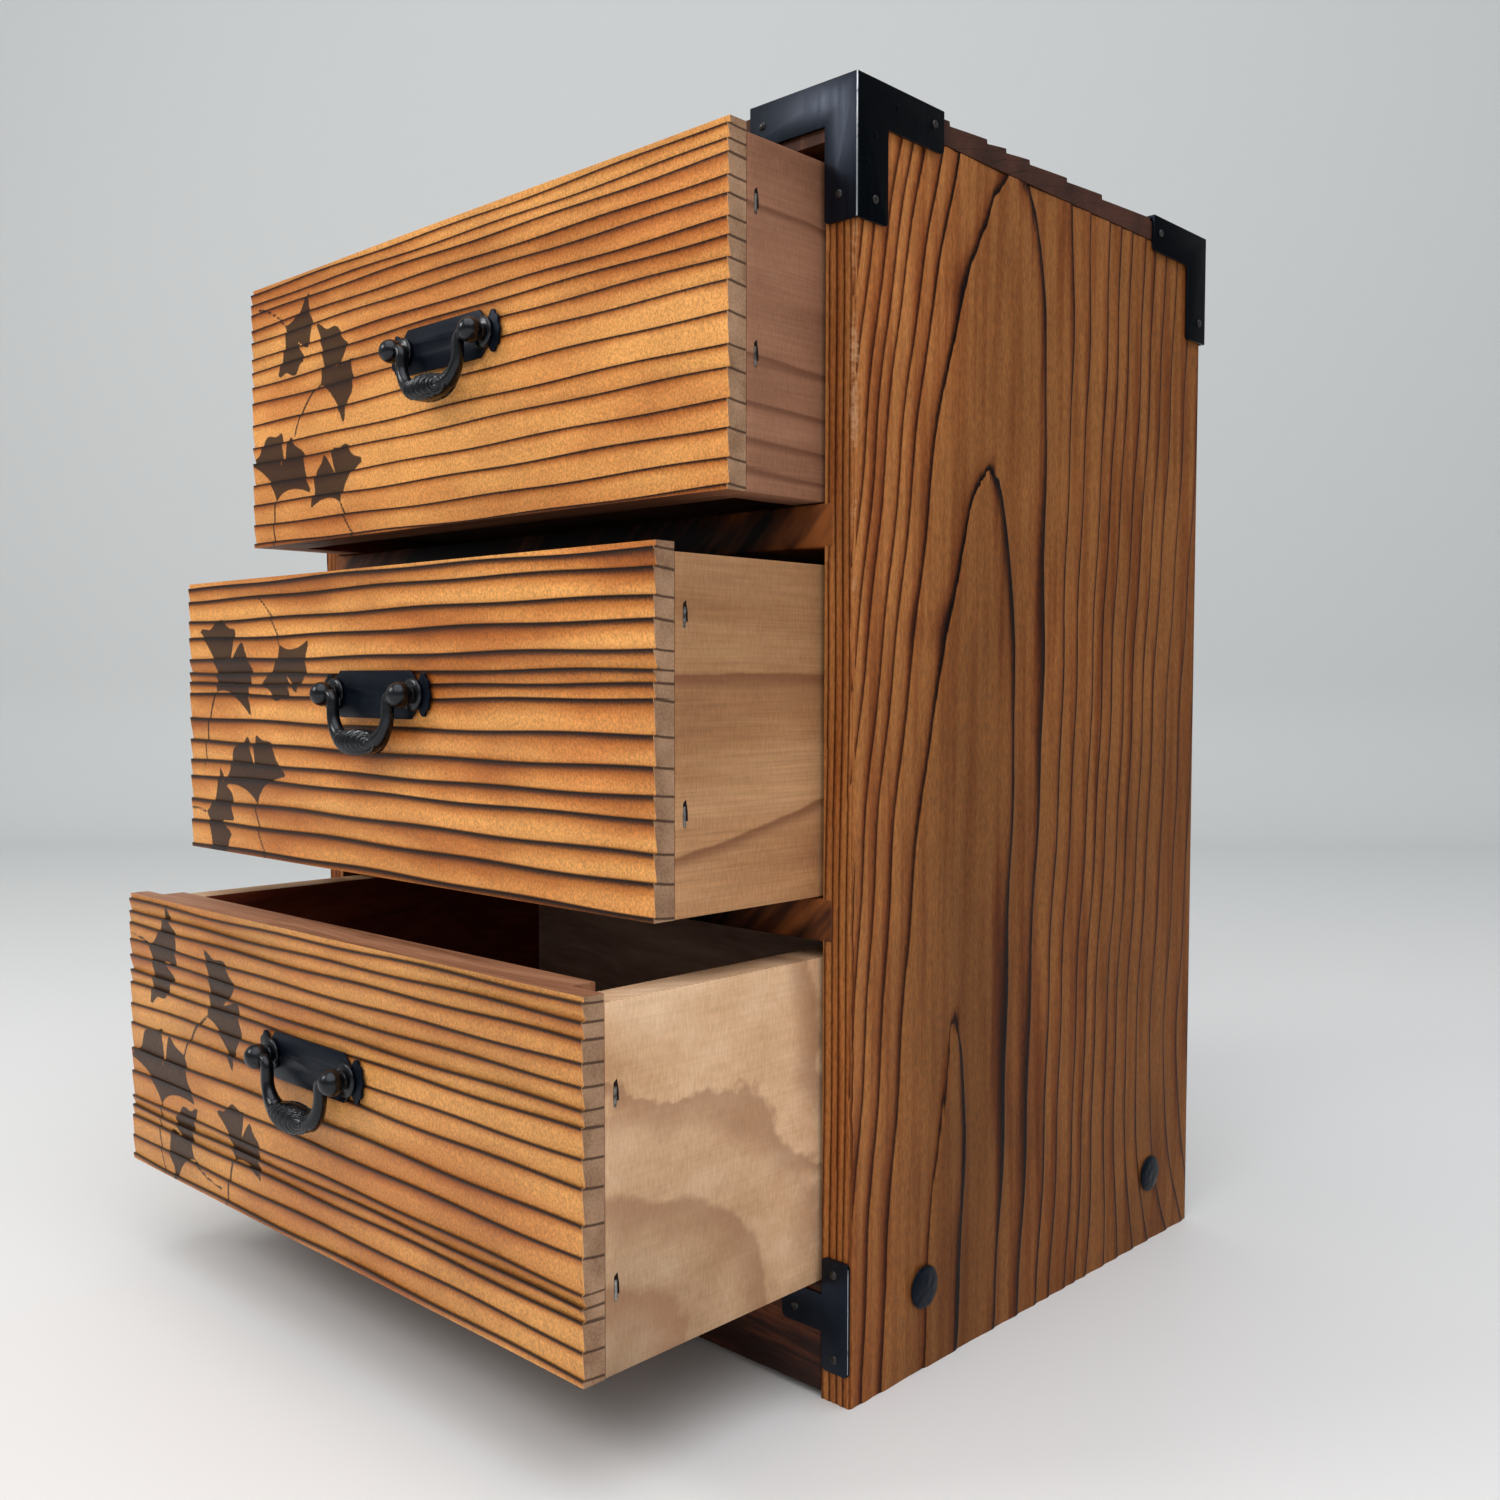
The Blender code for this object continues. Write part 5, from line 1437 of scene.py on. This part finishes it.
nails, dents = [], []
for side, hand in SIDES:
    low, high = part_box(f"iron_front_{side}")
    outer, front, roof = high.x if hand > 0 else low.x, low.y, high.z
    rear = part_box(f"iron_back_{side}")[1].y
    for edge, turn, insets in ((front, 1, FRONT_WING_NAILS_MM), (rear, -1, BACK_WING_NAILS_MM)):
        nails += [((outer, edge + turn * i * MM, roof - d * MM), (hand, 0, 0)) for i, d in insets]
        nails += [((outer - hand * i * MM, edge, roof - d * MM), (0, -turn, 0)) for i, d in FACE_NAILS_MM]
    dents += [((outer, front + i * MM, roof - d * MM), (hand, 0, 0)) for i, d in FRONT_WING_DENTS_MM]
    for edge, turn in ((front, 1), (rear, -1)):
        nails.append(((outer - hand * ROOF_NAIL_IN_MM * MM, edge + turn * ROOF_NAIL_BACK_MM * MM, roof),
                      (0, 0, 1)))
    low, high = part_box(f"t_plate_{side}")
    edge = high.x if hand > 0 else low.x
    nails += [((edge - hand * i * MM, low.y, low.z + r * MM), (0, -1, 0)) for i, r in T_PLATE_NAILS_MM]
nail_size = {"Radius": NAIL_MM * MM, "Height": NAIL_HEIGHT_MM * MM}
heads = run_tree("nail_heads", nail_tree, nails, "aim", nail_size, nail_steel, "case", "black_cast_iron")
dent_size = {"Radius": DENT_MM * MM, "Height": DENT_HEIGHT_MM * MM}
run_tree("nail_dents", nail_tree, dents, "aim", dent_size, wing_iron_shaded, "case", "black_sheet_iron")
print("nails:", len(nails), "faces:", len(heads.data.polygons))

# %% [markdown]
# A staple's crown is a bar of flat wire. Driving it home tore the wood, so a ragged hole lies under each
# one. It is drawn as a flat dark circle with shaken corners, painted shade that stands for the shaded
# inside of the hole.

# %% Staples of the drawer corners
CROWN_MM, WIRE_WIDE_MM = 5.4, 1.0
HOLE_WIDE_MM, HOLE_TALL_MM = 0.95, 3.2
STAPLE_RISES_MM = {"upper": (78.0, 37.0), "middle": (79.5, 27.0), "lower": (72.0, 22.0)}
STAPLE_BACK_MM, STAPLE_SUNK_MM = 3.4, 0.05
HOLE_BACK_MM, HOLE_PROUD_MM, HOLE_HIGHER_MM = 3.7, 0.03, 0.6

staple_tree, given = new_tree("wire_staples", ("Crown", "Wire"))
half = node(staple_tree, "ShaderNodeMath", {0: given["Crown"], 1: 0.5}, operation="MULTIPLY")
under = node(staple_tree, "ShaderNodeMath", {0: half, 1: -1.0}, operation="MULTIPLY")
start = node(staple_tree, "ShaderNodeCombineXYZ", {2: under})
end = node(staple_tree, "ShaderNodeCombineXYZ", {2: half})
crown = node(staple_tree, "GeometryNodeCurvePrimitiveLine", {"Start": start, "End": end})
flat = node(staple_tree, "ShaderNodeMath", {0: given["Wire"], 1: 0.6}, operation="MULTIPLY")
section = node(staple_tree, "GeometryNodeCurvePrimitiveQuadrilateral", {"Width": given["Wire"],
                                                                        "Height": flat})
bevel = node(staple_tree, "ShaderNodeMath", {0: given["Wire"], 1: 0.2}, operation="MULTIPLY")
rounded = node(staple_tree, "GeometryNodeFilletCurve", {"Curve": section, "Radius": bevel})
bar = node(staple_tree, "GeometryNodeCurveToMesh", {"Curve": crown, "Profile Curve": rounded,
                                                    "Fill Caps": True})
lean = node(staple_tree, "GeometryNodeInputNamedAttribute", {"Name": "lean"}, data_type="FLOAT_VECTOR")
set_on_points(staple_tree, given, bar, Rotation=lean)

hole_tree, given = new_tree("torn_holes", ("Width", "Height"))
disc = node(hole_tree, "GeometryNodeMeshCircle", {"Vertices": 11, "Radius": 1.0}, fill_type="NGON")
jag = node(hole_tree, "FunctionNodeRandomValue", {0: (-0.4, -0.35, 0), 1: (0.3, 0.35, 0), "Seed": 3},
           data_type="FLOAT_VECTOR")
torn = node(hole_tree, "GeometryNodeSetPosition", {"Geometry": disc, "Offset": jag})
size = node(hole_tree, "ShaderNodeCombineXYZ", {0: given["Height"], 1: given["Width"], 2: 1.0})
shaped = node(hole_tree, "GeometryNodeTransform", {"Geometry": torn, "Scale": size})
set_on_points(hole_tree, given, shaped, Rotation=turned_to_aim(hole_tree))

# Painted shade: the flat dark patch stands for the shaded inside of each torn hole
torn_hole_shade = planed_wood("cedar_torn_hole_painted_shade", [(0.0, "#080302"), (0.6, "#150a06"), (1.0, "#3a2115")],
                        (400, 900, 300), 0.0, 0.9)

for drawer in DRAWERS:
    body = f"drawer_{drawer}"
    staples, holes = [], []
    for side, hand in SIDES:
        low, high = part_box(f"{body}_side_{side}")
        face = high.x if hand > 0 else low.x
        for number, rise in enumerate(STAPLE_RISES_MM[drawer]):
            sunk, proud = face - hand * STAPLE_SUNK_MM * MM, face + hand * HOLE_PROUD_MM * MM
            staples.append(((sunk, low.y + STAPLE_BACK_MM * MM, low.z + rise * MM),
                            (math.radians(3 - 5 * number), 0, math.radians(90))))
            holes.append(((proud, low.y + HOLE_BACK_MM * MM, low.z + (rise + HOLE_HIGHER_MM) * MM),
                          (hand, 0, 0)))
    run_tree(f"{body}_staples", staple_tree, staples, "lean",
             {"Crown": CROWN_MM * MM, "Wire": WIRE_WIDE_MM * MM}, staple_steel, body, "black_sheet_iron")
    run_tree(f"{body}_torn_holes", hole_tree, holes, "aim",
             {"Width": HOLE_WIDE_MM * MM, "Height": HOLE_TALL_MM * MM}, torn_hole_shade, body, "drawer_wood")
print("staples per drawer:", len(staples))

# %% [markdown]
# ## Floor, wall and light
# A plain pale floor runs back about two metres from the camera and bends up into a wall, so there is no
# corner to see. It is a sweep of one profile, square to the camera, and its paint gets a little darker
# with distance from the camera: painted shade, for light that falls off towards the wall.

# %% Floor and wall
FLOOR_START, WALL_AT, WALL_TOP, FLOOR_HALF, FLOOR_BEND = -2.6, 2.1, 2.6, 4.0, 0.22  # metres
SHADE_AT, SHADES = (0.2, 0.7, 1.3, 2.0), (0.0, 0.15, 0.7, 1.0)  # metres from the camera and how dark
painted, tree, shader, place = new_finish("floor_pale_paint")
# far is how much painted shade a spot gets, growing with distance from the camera, for the falloff of light
far = node(tree, "ShaderNodeAttribute", out="Fac", attribute_name="far")
scuff = node(tree, "ShaderNodeTexNoise", {"Vector": place, "Scale": 5.0, "Detail": 6.0, "Roughness": 0.6})
mixed = node(tree, "ShaderNodeMath", {0: scuff, 1: 0.04, 2: far}, operation="MULTIPLY_ADD")
shade = node(tree, "ShaderNodeValToRGB", {"Fac": mixed},
             stops=[(0.0, "#e9e9e8"), (0.5, "#dcdcdb"), (1.0, "#d6d8d7")])
feed(tree, shader, {"Base Color": shade, "Roughness": 0.6})

forward = Vector((-back.x, -back.y, 0)).normalized()
across = Vector((forward.y, -forward.x, 0))
ground = Vector((CAMERA_PLACE.x, CAMERA_PLACE.y, 0))
profile = [(d, 0.0) for d in (FLOOR_START, *SHADE_AT[:3])]
profile += [(WALL_AT - FLOOR_BEND + FLOOR_BEND * math.sin(t), FLOOR_BEND * (1 - math.cos(t)))
            for t in np.linspace(0, math.pi / 2, 13)]
profile += [(WALL_AT, WALL_TOP)]
points = np.array([ground + forward * d + across * w + Vector((0, 0, h))
                   for d, h in profile for w in (-FLOOR_HALF, FLOOR_HALF)])
faces = [(2 * k, 2 * k + 1, 2 * k + 3, 2 * k + 2) for k in range(len(profile) - 1)]
far = np.repeat(np.interp([d + h for d, h in profile], SHADE_AT, SHADES), 2)
sweep = piece_from_arrays("studio_floor", points, faces, [painted], [0] * len(faces), {"far": far})
bpy.context.scene.collection.objects.link(sweep)
print("floor and wall:", len(faces), "strips")

# %% [markdown]
# A small soft window on the left, in front of the chest, makes the fronts glow and leaves the right side
# a stop darker. A wide ceiling light brightens the floor and keeps the shadow under the drawers soft. A
# weak fill from the front and a weak sky lift what is left. The fill shows in no gloss, because the black
# irons would mirror it.

# %% Light
world = bpy.data.worlds.new("studio")
world.use_nodes = True
sky = world.node_tree.nodes["Background"]
sky.inputs["Color"].default_value = linear("#eef2f6")
sky.inputs["Strength"].default_value = 0.34
bpy.context.scene.world = world


def window(name, place, target, size, power, tint, mirrored=True):
    """A rectangle of light; one that is not mirrored lights things but shows in no gloss."""
    lamp = bpy.data.lights.new(name, "AREA")
    lamp.shape = "RECTANGLE"
    lamp.size, lamp.size_y = size
    lamp.energy = power
    lamp.color = linear(tint)[:3]
    lit = bpy.data.objects.new(name, lamp)
    lit.location = place
    lit.rotation_mode = "QUATERNION"
    lit.rotation_quaternion = (Vector(target) - Vector(place)).to_track_quat("-Z", "Y")
    lit.visible_glossy = mirrored
    bpy.context.scene.collection.objects.link(lit)
    return lit


lights = [
    window("window_left", place=(-0.8, -1.3, 1.1), target=(0, -0.2, 0.22), size=(0.5, 0.45), power=7.6,
           tint="#fffaf4"),
    window("ceiling", place=(1.0, -1.0, 2.3), target=(0.8, -0.7, 0.0), size=(3.2, 3.2), power=66,
           tint="#fbfcff"),
    window("fill_front", place=(1.2, -2.0, 0.8), target=(0.1, -0.2, 0.15), size=(2.0, 1.4), power=9,
           tint="#fffdf8", mirrored=False),
]
bpy.context.scene.view_settings.view_transform = "Standard"
print("lights:", [lit.name for lit in lights])
